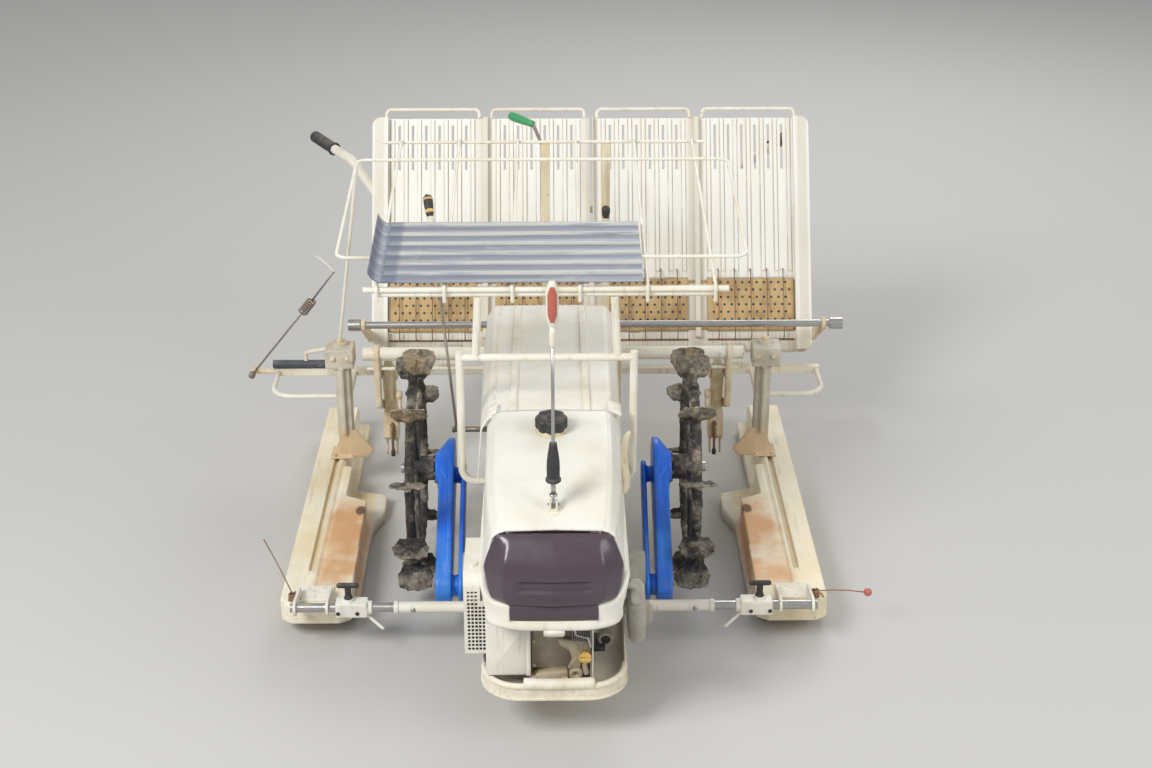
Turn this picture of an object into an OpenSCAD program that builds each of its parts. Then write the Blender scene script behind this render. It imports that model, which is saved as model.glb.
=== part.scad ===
// Walk-behind rice transplanter for four rows, parked on its wheels and floats.
// Millimetres. The machine drives towards -Y, +X is on the right when seen from its nose,
// and the origin is on the ground under the middle of the wheel axle.

/* [Wheels] */
// Radius of a wheel over the tips of its lugs
wheel_r = 305; // [280:5:330]
// Distance between the middles of the two wheels
track = 676; // [640:2:720]
// Number of lugs on a wheel
lug_count = 10; // [8:1:12]
// Width of a lug across the wheel
lug_w = 94; // [70:2:110]
// Height of a lug from the rim to its tip
lug_h = 60; // [45:1:75]
// Thickness of a lug at its root
lug_t = 16; // [10:1:22]
// Thickness of the rubber-covered round rim
rim_d = 27; // [20:1:34]
// Thickness of a spoke
spoke_d = 15; // [10:1:20]
// Number of spokes
spoke_count = 5; // [4:1:6]
// Diameter of the wheel hub
hub_d = 62; // [54:1:76]
// Diameter of the wheel shaft
shaft_d = 25; // [20:1:30]

/* [Swing cases] */
// Distance from the machine's middle to the inner face of a swing case
case_x = 243; // [235:1:250]
// Width of a swing case
case_w = 38; // [30:1:42]
// Place of the swing pivot behind the axle, negative towards the nose
pivot_y = -270; // [-290:5:-250]
// Height of the swing pivot above the ground
pivot_z = 130; // [110:5:150]

/* [Floats] */
// Distance from the middle to the outer edge of a side float
float_out = 655; // [640:1:680]
// Distance from the middle to the inner edge of a side float at its front
float_in = 478; // [460:1:500]
// Place of the side floats' front face
float_front = -305; // [-320:1:-290]
// Place of the side floats' rear end
float_rear = 815; // [780:5:850]
// Height of the side floats' top
float_h = 100; // [85:1:110]
// Width of the centre float
centre_float_w = 262; // [220:2:300]
// Height of the centre float's top
centre_float_h = 82; // [70:1:95]

/* [Front bar] */
// Place of the front bar along the machine
bar_y = -345; // [-355:1:-335]
// Height of the front bar's middle
bar_z = 118; // [112:1:128]
// Outer diameter of the front tube
bar_d = 27; // [24:1:32]
// Half the length of the front tube
bar_half = 375; // [340:5:400]
// Diameter of the rods that slide in the front tube
rod_d = 22; // [18:1:23]

/* [Engine] */
// Width of the guard tub round the engine
guard_w = 314; // [280:2:330]
// Place of the guard tub's front edge
guard_front = -727; // [-745:1:-700]
// Height of the guard tub's floor
guard_z = 121; // [110:1:130]
// Sheet thickness of the guard tub and of the covers
sheet_t = 4; // [3:0.5:5]

/* [Hood] */
// Height of the hood's highest line, over the fuel cap
hood_z = 622; // [602:5:642]
// Half the width of the hood at its highest line
hood_half = 160; // [150:1:170]
// Place of the foremost line of the dark nose
nose_y = -800; // [-815:1:-785]
// Height of the rear edge of the rear cover
cover_end_z = 566; // [550:1:585]
// Place of the rear edge of the rear cover
cover_end_y = 395; // [370:5:420]

/* [Rack] */
// Place of the rack's front rail
rack_y = -250; // [-260:1:-240]
// Height of the rack's front rail
rack_z = 880; // [860:5:900]
// Half the width of the rack's front rail
rack_half = 405; // [380:5:420]
// Depth of the rack from its front rail to its rear wire
rack_depth = 804; // [780:2:830]
// Slope of the rack, higher at the rear
rack_tilt = 6.4; // [4:0.2:8]
// Thickness of the rack's wires
wire_d = 8; // [6:0.5:9]

/* [Seedling table] */
// Distance between two planted rows, and between two lanes of the table
row_pitch = 300; // [280:5:310]
// Number of rows
row_count = 4; // [4:1:4]
// Sideways place of the table's middle as it is parked
table_x = 110; // [90:1:120]
// Place of the lanes' lower end
table_y = 718; // [705:1:725]
// Height of the lanes' lower end
table_z = 340; // [335:1:360]
// Length of the lanes up the slope
table_len = 632; // [600:2:650]
// Slope of the table against the ground
table_tilt = 60; // [56:1:63]
// Width of the rail along each side of the table
table_edge = 44; // [34:1:45]
// Diameter of the steel bar across the front of the table
table_bar_d = 20; // [16:1:24]

/* [Planting unit] */
// Place of the planting beam along the machine
beam_y = 480; // [470:1:490]
// Height of the planting beam's middle
beam_z = 400; // [390:1:405]
// Diameter of the planting beam
beam_d = 36; // [32:1:40]
// Half the length of the planting beam
beam_half = 512; // [500:1:516]
// Distance from the middle to the middle of a post on a side float
post_x = 568; // [560:1:575]
// Width of a planting arm's casting
arm_w = 34; // [28:1:40]

/* [Handles] */
// Diameter of the handle tubes
handle_d = 27; // [24:1:30]
// Diameter of the hand grips
grip_d = 35; // [32:1:38]

/* [Hidden] */

fit = 0.05;
bend_lap = 0.6;
bend_step = 0.12;
seat_gap = 0.3;

axle_x = track / 2;
axle_z = wheel_r;
rim_r = wheel_r - lug_h - rim_d / 2;
case_out = case_x + case_w;
flange_t = 10;
flange_d = 82;
flange_face = case_out + flange_t;
hub_in = flange_face + 1;
hub_out = axle_x + 24;

upper_x = -14;
deck_z = 450.3;
hood_end = -352;

white = "#e9e4d3";
cream = "#e5d9b4";
blue = "#2f63c4";
dark = "#2b2a2c";
plum = "#4b3b45";
steel = "#9a9ca0";
mud = "#5f574c";
tan_belt = "#cda467";
casting = "#cfc19a";

// Helpers

function unit(v) = v / norm(v);
function turn(a, b, c) = acos(max(-1, min(1, unit(b - a) * unit(c - b))));
function setback(a, b, c, r) = r * tan(turn(a, b, c) / 2);
function bend_start(p, i, r) =
    i == 0 ? p[0] : p[i] + unit(p[i + 1] - p[i]) * setback(p[i - 1], p[i], p[i + 1], r);
function bend_end(p, i, r) =
    i == len(p) - 1 ? p[i] : p[i] - unit(p[i] - p[i - 1]) * setback(p[i - 1], p[i], p[i + 1], r);

// The same piece on the other side of the machine
module other_side() {
    mirror([1, 0, 0]) children();
}

// The same piece on both sides
module both_sides() {
    children();
    mirror([1, 0, 0]) children();
}

// A round bar from a to b
module bar(a, b, d) {
    run = b - a;
    translate(a)
        rotate([0, acos(run.z / norm(run)), atan2(run.y, run.x)])
            cylinder(d = d, h = norm(run), $fn = 24);
}

// The bend of a round bar at b, on its way from a to c
module elbow(a, b, c, d, r) {
    ahead = unit(b - a);
    out = unit(c - b);
    side = unit(out - (out * ahead) * ahead);
    up = cross(-side, ahead);
    middle = b - ahead * setback(a, b, c, r) + side * r;
    multmatrix([
        [-side.x, ahead.x, up.x, middle.x],
        [-side.y, ahead.y, up.y, middle.y],
        [-side.z, ahead.z, up.z, middle.z],
        [0, 0, 0, 1],
    ])
        rotate_extrude(angle = turn(a, b, c), $fn = 40)
            translate([r, 0]) circle(d = d, $fn = 24);
}

// A round bar bent at each inner point with radius r. Its straight stretches are a hair
// thinner than its bends and reach a little way into them.
module bent_bar(points, d, r) {
    last = len(points) - 1;
    for (i = [0 : last - 1]) {
        along = unit(points[i + 1] - points[i]);
        bar(
            bend_start(points, i, r) - (i > 0 ? bend_lap : 0) * along,
            bend_end(points, i + 1, r) + (i < last - 1 ? bend_lap : 0) * along,
            d - bend_step
        );
    }
    for (i = [1 : last - 1])
        elbow(points[i - 1], points[i], points[i + 1], d, r);
}

// Solid between the facing outlines of a list of rings with equal numbers of points
module loft(rings) {
    n = len(rings[0]);
    m = len(rings);
    walls = [
        for (k = [0 : m - 2], i = [0 : n - 1])
            let (a = k * n + i, b = k * n + (i + 1) % n)
                each [[a, a + n, b], [b, a + n, b + n]]
    ];
    first = [for (i = [0 : n - 1]) i];
    final = [for (i = [0 : n - 1]) m * n - 1 - i];
    polyhedron(points = [for (ring = rings) each ring], faces = concat([first], walls, [final]));
}

// Flat outline of a belt round two circles
module link_2d(p, rp, q, rq) {
    along = q - p;
    heading = atan2(along.y, along.x);
    spread = acos((rp - rq) / norm(along));
    translate(p) circle(r = rp, $fn = 48);
    translate(q) circle(r = rq, $fn = 48);
    polygon([
        p + rp * [cos(heading + spread), sin(heading + spread)],
        q + rq * [cos(heading + spread), sin(heading + spread)],
        q + rq * [cos(heading - spread), sin(heading - spread)],
        p + rp * [cos(heading - spread), sin(heading - spread)],
    ]);
}

// Flat rectangle with its corners rounded
module rounded_2d(w, h, r) {
    translate([-w / 2 + r, -h / 2]) square([w - 2 * r, h]);
    translate([-w / 2, -h / 2 + r]) square([w, h - 2 * r]);
    for (sx = [-1, 1], sy = [-1, 1])
        translate([sx * (w / 2 - r), sy * (h / 2 - r)]) circle(r = r, $fn = 32);
}

// A profile drawn in Y and Z, drawn out along X from x0 to x1
module along_x(x0, x1) {
    translate([x0, 0, 0])
        rotate([90, 0, 90]) linear_extrude(height = x1 - x0) children();
}

// Moves children onto the rack's sloping floor, whose front rail is the local X axis
module on_rack() {
    translate([upper_x, rack_y, rack_z]) rotate([rack_tilt, 0, 0]) children();
}

// Moves children onto the table: local X across, local Y up the slope, local Z off the lanes
module on_table() {
    translate([table_x, table_y, table_z]) rotate([table_tilt, 0, 0]) children();
}

// Floats

// Side float on the right, with its flat keel plate, raised back and inner wing
float_wing_in = 452;
float_waist = 538;
float_wing_y = 300;
float_hump_out = 572;
float_groove_x = 588;

module side_float() {
    intersection() {
        along_x(float_wing_in - 1, float_out)
            polygon([
                [float_front, 48], [float_front, float_h - 4], [float_front + 14, float_h],
                [float_rear - 40, float_h], [float_rear, float_h - 30],
                [float_rear - 30, 0], [float_front + 155, 0],
            ]);
        union() {
            linear_extrude(height = 34)
                polygon([
                    [float_in + 26, float_front], [float_out - 26, float_front],
                    [float_out, float_front + 30], [float_out, float_rear],
                    [float_waist, float_rear], [float_waist, float_wing_y + 90],
                    [float_wing_in, float_wing_y + 62], [float_wing_in, float_wing_y - 30],
                    [float_in, float_wing_y - 110], [float_in, float_front + 26],
                ]);
            linear_extrude(height = float_h + 1)
                polygon([
                    [float_in + 32, float_front], [float_out - 28, float_front],
                    [float_out - 2, float_front + 32], [float_out - 2, float_rear],
                    [float_waist + 30, float_rear], [float_waist + 30, float_wing_y + 110],
                    [float_waist + 10, float_wing_y + 100], [float_waist + 10, float_wing_y - 60],
                    [float_in + 14, float_wing_y - 90], [float_in + 6, float_front + 30],
                ]);
        }
    }
}

module float_right() {
    color(cream) difference() {
        side_float();
        translate([float_groove_x, float_front + 160, float_h - 12])
            cube([11, float_rear - float_front - 330, 20]);
        translate([float_hump_out - 6, float_front + 90, float_h - 5])
            cube([float_groove_x - float_hump_out - 4, float_rear - float_front - 260, 20]);
    }
}

module float_left() {
    other_side() float_right();
}

centre_float_front = -470;
centre_float_back = 610;
centre_float_step = 330;
centre_float_half = centre_float_w / 2;

module centre_float() {
    color(cream) intersection() {
        along_x(-centre_float_half, centre_float_half)
            polygon([
                [centre_float_front, 52], [centre_float_front, 66],
                [centre_float_front + 18, centre_float_h], [centre_float_back - 50, centre_float_h],
                [centre_float_back, 46], [centre_float_back - 14, 0], [centre_float_front + 140, 0],
            ]);
        linear_extrude(height = centre_float_h + 1)
            polygon([
                [-centre_float_half + 46, centre_float_front],
                [centre_float_half - 46, centre_float_front],
                [centre_float_half, centre_float_front + 60],
                [centre_float_half, centre_float_step - 90],
                [centre_float_half - 40, centre_float_step], [centre_float_half - 40, centre_float_back],
                [-centre_float_half + 40, centre_float_back], [-centre_float_half + 40, centre_float_step],
                [-centre_float_half, centre_float_step - 90],
                [-centre_float_half, centre_float_front + 60],
            ]);
    }
}

// Ears on the side floats' fronts that the bar rods pass through
ear_x = [528, 604];
ear_t = 6;

module float_brackets() {
    color(dark) both_sides() {
        difference() {
            union() {
                for (x = ear_x)
                    along_x(x, x + ear_t)
                        link_2d([bar_y, bar_z], 19, [float_front + 40, float_h + 13.5], 10);
                translate([ear_x[0], float_front + 14, float_h + seat_gap])
                    cube([ear_x[1] - ear_x[0] + ear_t, 66, 4]);
            }
            translate([ear_x[0] - 1, bar_y, bar_z]) rotate([0, 90, 0])
                cylinder(d = rod_d + 2 * fit, h = ear_x[1] - ear_x[0] + 20, $fn = 40);
        }
    }
}

// Front bar

module front_bar() {
    color(white) translate([-bar_half, bar_y, bar_z]) rotate([0, 90, 0])
        difference() {
            union() {
                cylinder(d = bar_d, h = 2 * bar_half, $fn = 48);
                for (x = [0, 2 * bar_half - 10])
                    translate([0, 0, x]) cylinder(d = bar_d + 4, h = 10, $fn = 48);
            }
            translate([0, 0, -1]) cylinder(d = rod_d + 2 * fit, h = 2 * bar_half + 2, $fn = 48);
        }
}

rod_in = 240;
rod_out = 618;

module bar_rods() {
    color(steel) both_sides()
        translate([rod_in, bar_y, bar_z]) rotate([0, 90, 0])
            cylinder(d = rod_d, h = rod_out - rod_in, $fn = 48);
}

// Clamp casting on the right rod
clamp_x = 437;
clamp_w = 74;

module clamp_right() {
    color(white) difference() {
        union() {
            translate([clamp_x, bar_y - 18, bar_z - 18]) cube([clamp_w, 37, 36]);
            translate([clamp_x - 12, bar_y, bar_z]) rotate([0, 90, 0])
                cylinder(d = 32, h = 14, $fn = 40);
            translate([clamp_x + 44, bar_y, bar_z + 16]) cylinder(d = 26, h = 10, $fn = 32);
        }
        translate([clamp_x - 14, bar_y, bar_z]) rotate([0, 90, 0])
            cylinder(d = rod_d + 2 * fit, h = clamp_w + 20, $fn = 48);
    }
    color(steel) bar([clamp_x + 4, bar_y - 2, bar_z - 17], [clamp_x - 38, bar_y - 22, bar_z - 46], 8);
}

module clamp_left() {
    other_side() clamp_right();
}

module clamp_knobs() {
    color(dark) both_sides()
        translate([clamp_x + 44, bar_y, bar_z + 26]) {
            cylinder(d = 15, h = 34, $fn = 32);
            cylinder(d1 = 22, d2 = 16, h = 8, $fn = 32);
            translate([-20, 0, 34]) rotate([0, 90, 0]) cylinder(d = 13, h = 40, $fn = 32);
            for (x = [-20, 20]) translate([x, 0, 34]) sphere(d = 13, $fn = 32);
        }
}

// Wire feelers on the floats' outer corners
module feeler_left() {
    root = [-(float_out - 34), float_front + 26, float_h];
    color("#7a4a32") translate(root) cylinder(d = 22, h = 16, $fn = 32);
    color(dark) bar(root + [0, 0, 14], root + [-80, 120, 96], 3);
}

module feeler_right() {
    root = [float_out - 34, float_front + 26, float_h];
    color("#7a4a32") translate(root) cylinder(d = 22, h = 16, $fn = 32);
    color(dark) bar(root + [0, 0, 12], root + [122, 6, 6], 3);
    color("#c05a5a") translate(root + [128, 6, 6]) sphere(d = 20, $fn = 32);
}

// Engine

engine_front_y = guard_front + 34;
engine_back_y = -400;
engine_floor = guard_z + sheet_t;

module engine_block() {
    color("#8f8a7c") translate([-88, engine_front_y + 38, engine_floor + seat_gap])
        cube([166, engine_back_y - engine_front_y - 38, 313]);
}

// Tub with rounded front corners, open at the top and rear
module guard_outline(inset) {
    w = guard_w - 2 * inset;
    r = 84 - inset;
    front = guard_front + inset;
    translate([-w / 2 + r, front]) square([w - 2 * r, r + 1]);
    translate([-w / 2, front + r]) square([w, guard_back - front - r + (inset > 0 ? 1 : 0)]);
    for (s = [-1, 1])
        translate([s * (w / 2 - r), front + r]) circle(r = r, $fn = 64);
}

guard_back = -367;
guard_rim = 32;
guard_side = 107;
guard_flange = 4;
guard_rim_d = 14;

module engine_guard() {
    rim_w = guard_w - 8;
    corner = 80;
    color(white) {
        intersection() {
            difference() {
                union() {
                    translate([0, 0, guard_z]) linear_extrude(height = guard_side) guard_outline(0);
                    translate([0, 0, guard_z])
                        linear_extrude(height = guard_flange) guard_outline(-guard_flange);
                }
                translate([0, 0, guard_z + sheet_t])
                    linear_extrude(height = guard_side) guard_outline(sheet_t);
            }
            along_x(-guard_w, guard_w)
                polygon([
                    [guard_front - 20, guard_z], [guard_front - 20, guard_z + guard_rim],
                    [guard_front + 90, guard_z + guard_rim], [-520, guard_z + guard_side],
                    [guard_back, guard_z + guard_side], [guard_back, guard_z],
                ]);
        }
        translate([0, 0, guard_z + guard_rim])
            bent_bar([
                [-rim_w / 2, guard_front + 88, 0], [-rim_w / 2, guard_front + 4, 0],
                [rim_w / 2, guard_front + 4, 0], [rim_w / 2, guard_front + 88, 0],
            ], guard_rim_d, corner);
    }
}

// Shroud, finned head, lower casting and partition of the open engine front
fin_count = 5;

module engine_front() {
    face = engine_front_y + 38;
    color(white) intersection() {
        translate([-148, engine_front_y - 4, engine_floor + 37]) cube([88, 42 - seat_gap, 128]);
        translate([0, 0, engine_floor]) linear_extrude(height = 200) guard_outline(sheet_t + 8);
    }
    color(casting) {
        translate([-60 + seat_gap, engine_front_y + 22, engine_floor + 43]) cube([60, 16 - seat_gap, 110]);
        translate([-84, engine_front_y + 2, engine_floor + 9]) cube([126, 36 - seat_gap, 28 - seat_gap]);
        for (i = [0 : fin_count - 1])
            translate([2, engine_front_y + 2, engine_floor + 101 + i * 8]) cube([74, 36 - seat_gap, 3]);
        translate([10, engine_front_y + 12, engine_floor + 30]) cube([58, 26 - seat_gap, 111]);
        translate([66, face - seat_gap, engine_floor + 83]) rotate([90, 0, 0])
            cylinder(d = 30, h = 34 - seat_gap, $fn = 40);
    }
    color(steel) {
        translate([81, engine_front_y - 6, engine_floor + seat_gap]) cube([3, 44, 157]);
        translate([112, engine_front_y + 120, engine_floor + 79]) rotate([90, 0, 0])
            cylinder(d = 34, h = 44, $fn = 40);
        translate([78 + seat_gap, engine_front_y + 92, engine_floor + 63]) cube([34, 30, 34]);
    }
}

module oil_cap() {
    color("#d8b24a") translate([66, engine_front_y + 4 - seat_gap, engine_floor + 83]) rotate([90, 0, 0]) {
        cylinder(d = 29, h = 10, $fn = 40);
        translate([-12, -4, 10]) cube([24, 8, 8]);
    }
}

// Perforated fan cover on the left of the engine
fan_cover_w = 36;
fan_cover_h = 192;
fan_face_w = 54;
fan_face_h = 132;
fan_hole = 5.4;
fan_pitch = 8.1;
fan_row_pitch = 9.4;
fan_rows = 16;
fan_columns = 5;

module fan_cover() {
    left = -skirt_half - seat_gap - fan_cover_w;
    front = engine_front_y + 42;
    color(white) difference() {
        translate([left, front, 190]) union() {
            cube([fan_cover_w, 170, fan_cover_h - 26]);
            translate([0, 26, 0]) cube([fan_cover_w, 144, fan_cover_h]);
            translate([0, 26, fan_cover_h - 26]) rotate([0, 90, 0])
                cylinder(r = 26, h = fan_cover_w, $fn = 48);
            translate([0, 0, 50]) cube([-88 - seat_gap - left, 150, fan_face_h - 50]);
            cube([fan_face_w, 20, fan_face_h]);
            translate([18, 52, fan_cover_h - 1]) cylinder(d = 22, h = 9, $fn = 32);
        }
        translate([left + 4, front + 4, 194]) cube([fan_cover_w - 8, 158, fan_cover_h - 34]);
        translate([left + 4, front + 4, 194]) cube([fan_face_w - 8, 12, fan_face_h - 8]);
        for (column = [0 : fan_columns - 1], row = [0 : fan_rows - 1])
            if (column < 3 || row < 12)
                translate([left + 8 + column * fan_pitch, front - 2, 200 + row * fan_row_pitch])
                    cube([fan_hole, 12, fan_hole]);
    }
}

module air_cleaner() {
    color("#8c8a84") {
        for (step = [[0, 84, 19], [-8, 100, 14]])
            translate([guard_w / 2 + 22, -646, 226 + step[0]])
                linear_extrude(height = step[1]) link_2d([0, 0], step[2], [0, 82], step[2]);
        translate([186, -612, 266]) rotate([0, 90, 0]) {
            cylinder(d = 56, h = 22, $fn = 48);
            cylinder(d = 38, h = 28, $fn = 48);
        }
        translate([78 + seat_gap, -590, 270]) rotate([0, 90, 0]) cylinder(d = 32, h = 84, $fn = 40);
        bent_bar([[178, -600, 300], [178, -600, 328], [78 + seat_gap, -600, 328]], 14, 14);
    }
}

// Hood

// Columns of the table: place, height of the top, half width of the top panel,
// half width at the shoulder, drop to the shoulder, half width at the lower edge, lower edge
hood_stations = [
    [nose_y + 62, hood_z - 80, 116, 134, 24, 142, 470],
    [-610, hood_z - 34, 122, 142, 30, hood_half - 10, deck_z],
    [-470, hood_z - 6, 126, 146, 34, hood_half - 6, deck_z],
    [hood_end, hood_z, 126, 148, 34, hood_half - 4, deck_z],
];

function hood_ring(s, inset) = [
    for (p = [
        [-s[5] + inset, s[6] - (inset > 0 ? 1 : 0)], [-s[3] + inset, s[1] - s[4]],
        [-s[2] + inset / 2, s[1] - inset], [s[2] - inset / 2, s[1] - inset],
        [s[3] - inset, s[1] - s[4]], [s[5] - inset, s[6] - (inset > 0 ? 1 : 0)],
    ]) [p.x, s[0], p.y]
];

// Moves the first and last station outwards so that a hollow opens through both ends
function stretched(stations) = [
    for (i = [0 : len(stations) - 1])
        [
            for (k = [0 : 6])
                k > 0 ? stations[i][k]
                : stations[i][0] + (i == 0 ? -1 : i == len(stations) - 1 ? 1 : 0)
        ]
];

module shell(stations) {
    difference() {
        loft([for (s = stations) hood_ring(s, 0)]);
        loft([for (s = stretched(stations)) hood_ring(s, sheet_t)]);
    }
}

module hood() {
    color(white) shell(hood_stations);
}

// Rear cover with its two raised ribs
cover_stations = [
    [hood_end + seat_gap, hood_z - 14, 134, 152, 30, hood_half, deck_z - 12],
    [cover_end_y, cover_end_z, 138, 158, 26, hood_half + 8, deck_z - 12],
];
cover_slope = atan2(hood_z - 14 - cover_end_z, cover_end_y - hood_end);

function cover_top(y) = cover_end_z + (cover_end_y - y) * tan(cover_slope);

module rear_cover() {
    color(white) translate([upper_x / 2, 0, 0]) {
        shell(cover_stations);
        for (x = [-68, 78])
            translate([x, hood_end + 8, cover_top(hood_end + 8) - 1]) rotate([-cover_slope, 0, 0])
                cube([16, cover_end_y - hood_end - 12, 7]);
    }
}

// Skirt under the hood with the rim round the nose
skirt_half = 158;
skirt_back = hood_end - 1;
skirt_corner = 60;
skirt_t = 4;
skirt_top = deck_z - seat_gap;

module skirt_outline(inset) {
    w = 2 * (skirt_half - inset);
    r = skirt_corner - inset;
    front = nose_y + 10 + inset;
    translate([-w / 2 + r, front]) square([w - 2 * r, r + 1]);
    translate([-w / 2, front + r]) square([w, skirt_back - front - r]);
    for (s = [-1, 1])
        translate([s * (w / 2 - r), front + r]) circle(r = r, $fn = 48);
}

module hood_skirt() {
    color(white) {
        difference() {
            intersection() {
                union() {
                    translate([0, 0, 330]) linear_extrude(height = 130) difference() {
                        skirt_outline(0);
                        skirt_outline(skirt_t);
                    }
                    translate([0, 0, skirt_top - 4]) linear_extrude(height = 4) difference() {
                        skirt_outline(1);
                        skirt_outline(skirt_t + 14);
                    }
                    translate([0, 0, nose_low - seat_gap - 4]) linear_extrude(height = 4) difference() {
                        skirt_outline(1);
                        skirt_outline(46);
                        translate([-skirt_half, nose_y + 90]) square([2 * skirt_half, 600]);
                    }
                }
                along_x(-skirt_half - 1, skirt_half + 1)
                    polygon([
                        [nose_y, 334], [nose_y, nose_low - 4], [nose_y + 20, nose_low - 1],
                        [nose_y + 38, 424], [nose_back + seat_gap, skirt_top - 4 - seat_gap],
                        [-640, skirt_top], [skirt_back - 1, skirt_top], [skirt_back - 1, 360],
                    ]);
            }
            translate([-nose_step / 2 - seat_gap, nose_y, nose_step_z - seat_gap])
                cube([nose_step + 2 * seat_gap, 60, nose_low + 10 - nose_step_z]);
        }
        translate([-22, nose_y + 12, 322]) cube([44, 6, 14]);
    }
}

// Dark nose
// Columns of the table: height, place of the front, half width of the front,
// half width at the corner, drop back to the corner
nose_low = 394;
nose_step = 184;
nose_step_z = 358;
nose_rings = [
    [nose_low, nose_y + 6, 98, 130, 30],
    [436, nose_y, 104, 142, 40],
    [494, nose_y + 10, 100, 141, 52],
    [541, nose_y + 52, 92, 117, 10],
];
nose_back = nose_y + 61.7;

module nose_panel() {
    color(plum) {
        loft([
            for (s = nose_rings) [
                [-s[3], nose_back, s[0]], [-s[3], s[1] + s[4] - 2, s[0]], [-s[2], s[1] + 6, s[0]],
                [0, s[1], s[0]],
                [s[2], s[1] + 6, s[0]], [s[3], s[1] + s[4] - 2, s[0]], [s[3], nose_back, s[0]],
            ]
        ]);
        translate([-nose_step / 2, nose_y + 12, nose_step_z])
            cube([nose_step, 20, nose_low + 1 - nose_step_z]);
    }
}

fuel_cap_y = -415;
fuel_cap_slope = atan2(6, hood_end + 470);

module fuel_cap() {
    color(dark) translate([-8, fuel_cap_y, hood_z - (hood_end - fuel_cap_y) * tan(fuel_cap_slope) + seat_gap])
        rotate([fuel_cap_slope, 0, 0]) {
        cylinder(d = 62, h = 14, $fn = 48);
        translate([0, 0, 14]) cylinder(d = 72, h = 20, $fn = 48);
        translate([0, 0, 34]) cylinder(d1 = 70, d2 = 60, h = 5, $fn = 48);
    }
}

// Frame

module transmission() {
    color(casting) {
        translate([-105, -330, 140]) cube([210, 560, 200]);
        translate([-90, -300, 340]) cube([180, 560, cover_end_z - 26 - 340]);
        translate([-case_x + 28 + seat_gap, pivot_y, pivot_z + 40]) rotate([0, 90, 0])
            cylinder(d = 90, h = 2 * (case_x - 28 - seat_gap), $fn = 64);
        translate([-150, 120, 330]) rotate([0, 90, 0]) cylinder(d = 110, h = 300, $fn = 64);
        for (y = [-200, 180]) translate([-30, y, centre_float_h + seat_gap]) cube([60, 40, 70]);
        for (y = [-200, 200])
            translate([-60, y - 3, 500])
                cube([120, 6, cover_top(y) - sheet_t - 2 * seat_gap - 500]);
        for (x = [-72, 48]) difference() {
            translate([x, guard_back + seat_gap, bar_z - 18]) cube([24, -300 - guard_back, 76]);
            translate([x - 1, bar_y, bar_z]) rotate([0, 90, 0])
                cylinder(d = bar_d + 2 * fit, h = 26, $fn = 48);
        }
    }
}

// Frame rails along the gearbox, with straps that carry the skirt
frame_rail_d = 26;
frame_rail_x = 105 + seat_gap + frame_rail_d / 2;
rail_side = frame_rail_x + frame_rail_d / 2;

module frame_rails() {
    color(white) both_sides() {
        bar([frame_rail_x, -640, beam_z], [frame_rail_x, beam_y - 25 - seat_gap, beam_z], frame_rail_d);
        for (y = [-600, skirt_back - 44])
            translate([frame_rail_x, y, beam_z - 5])
                cube([skirt_half - skirt_t - seat_gap - frame_rail_x, 24, 10]);
    }
}

// Swing cases

module swing_case_right() {
    color(blue) difference() {
        union() {
            along_x(case_x, case_out)
                link_2d([0, axle_z], 46, [pivot_y, pivot_z], 46);
            along_x(case_x, case_x + 14)
                link_2d([0, axle_z], 74, [pivot_y, pivot_z], 46);
            translate([case_x + 14, 0, axle_z]) rotate([0, 90, 0])
                cylinder(r1 = 74, r2 = 46, h = case_w - 14, $fn = 64);
            translate([case_out, 0, axle_z]) rotate([0, 90, 0])
                cylinder(d = flange_d, h = flange_t, $fn = 64);
            along_x(case_x - 28, case_x - 16)
                link_2d([-20, axle_z - 10], 34, [pivot_y, pivot_z], 40);
            translate([case_x - 17, pivot_y, pivot_z]) rotate([0, 90, 0])
                cylinder(d = 50, h = 20, $fn = 48);
            translate([case_x - 17, -20, axle_z - 10]) rotate([0, 90, 0])
                cylinder(d = 40, h = 20, $fn = 48);
        }
        translate([case_x + 6, 0, axle_z]) rotate([0, 90, 0])
            cylinder(d = shaft_d + 2 * fit, h = case_w + flange_t, $fn = 64);
    }
}

module swing_case_left() {
    other_side() swing_case_right();
}

// Wheels

shaft_in = case_x + 8;
shaft_out = hub_out + 14;

module axle_right() {
    color(steel) translate([shaft_in, 0, axle_z]) rotate([0, 90, 0])
        cylinder(d = shaft_d, h = shaft_out - shaft_in, $fn = 64);
}

module axle_left() {
    other_side() axle_right();
}

// One lug: a shovel-shaped paddle across the wheel with a middle rib
module lug() {
    root = rim_r + rim_d / 2 - 6;
    translate([0, lug_t / 2, 0]) rotate([90, 0, 0])
        linear_extrude(height = lug_t * 0.6)
            polygon([
                [-lug_w * 0.32, root], [lug_w * 0.32, root], [lug_w / 2, root + lug_h * 0.45],
                [lug_w * 0.44, wheel_r - 8], [lug_w * 0.2, wheel_r - 0.6], [-lug_w * 0.2, wheel_r - 0.6],
                [-lug_w * 0.44, wheel_r - 8], [-lug_w / 2, root + lug_h * 0.45],
            ]);
    translate([-10, -lug_t / 2, root]) cube([20, lug_t, lug_h]);
}

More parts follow.
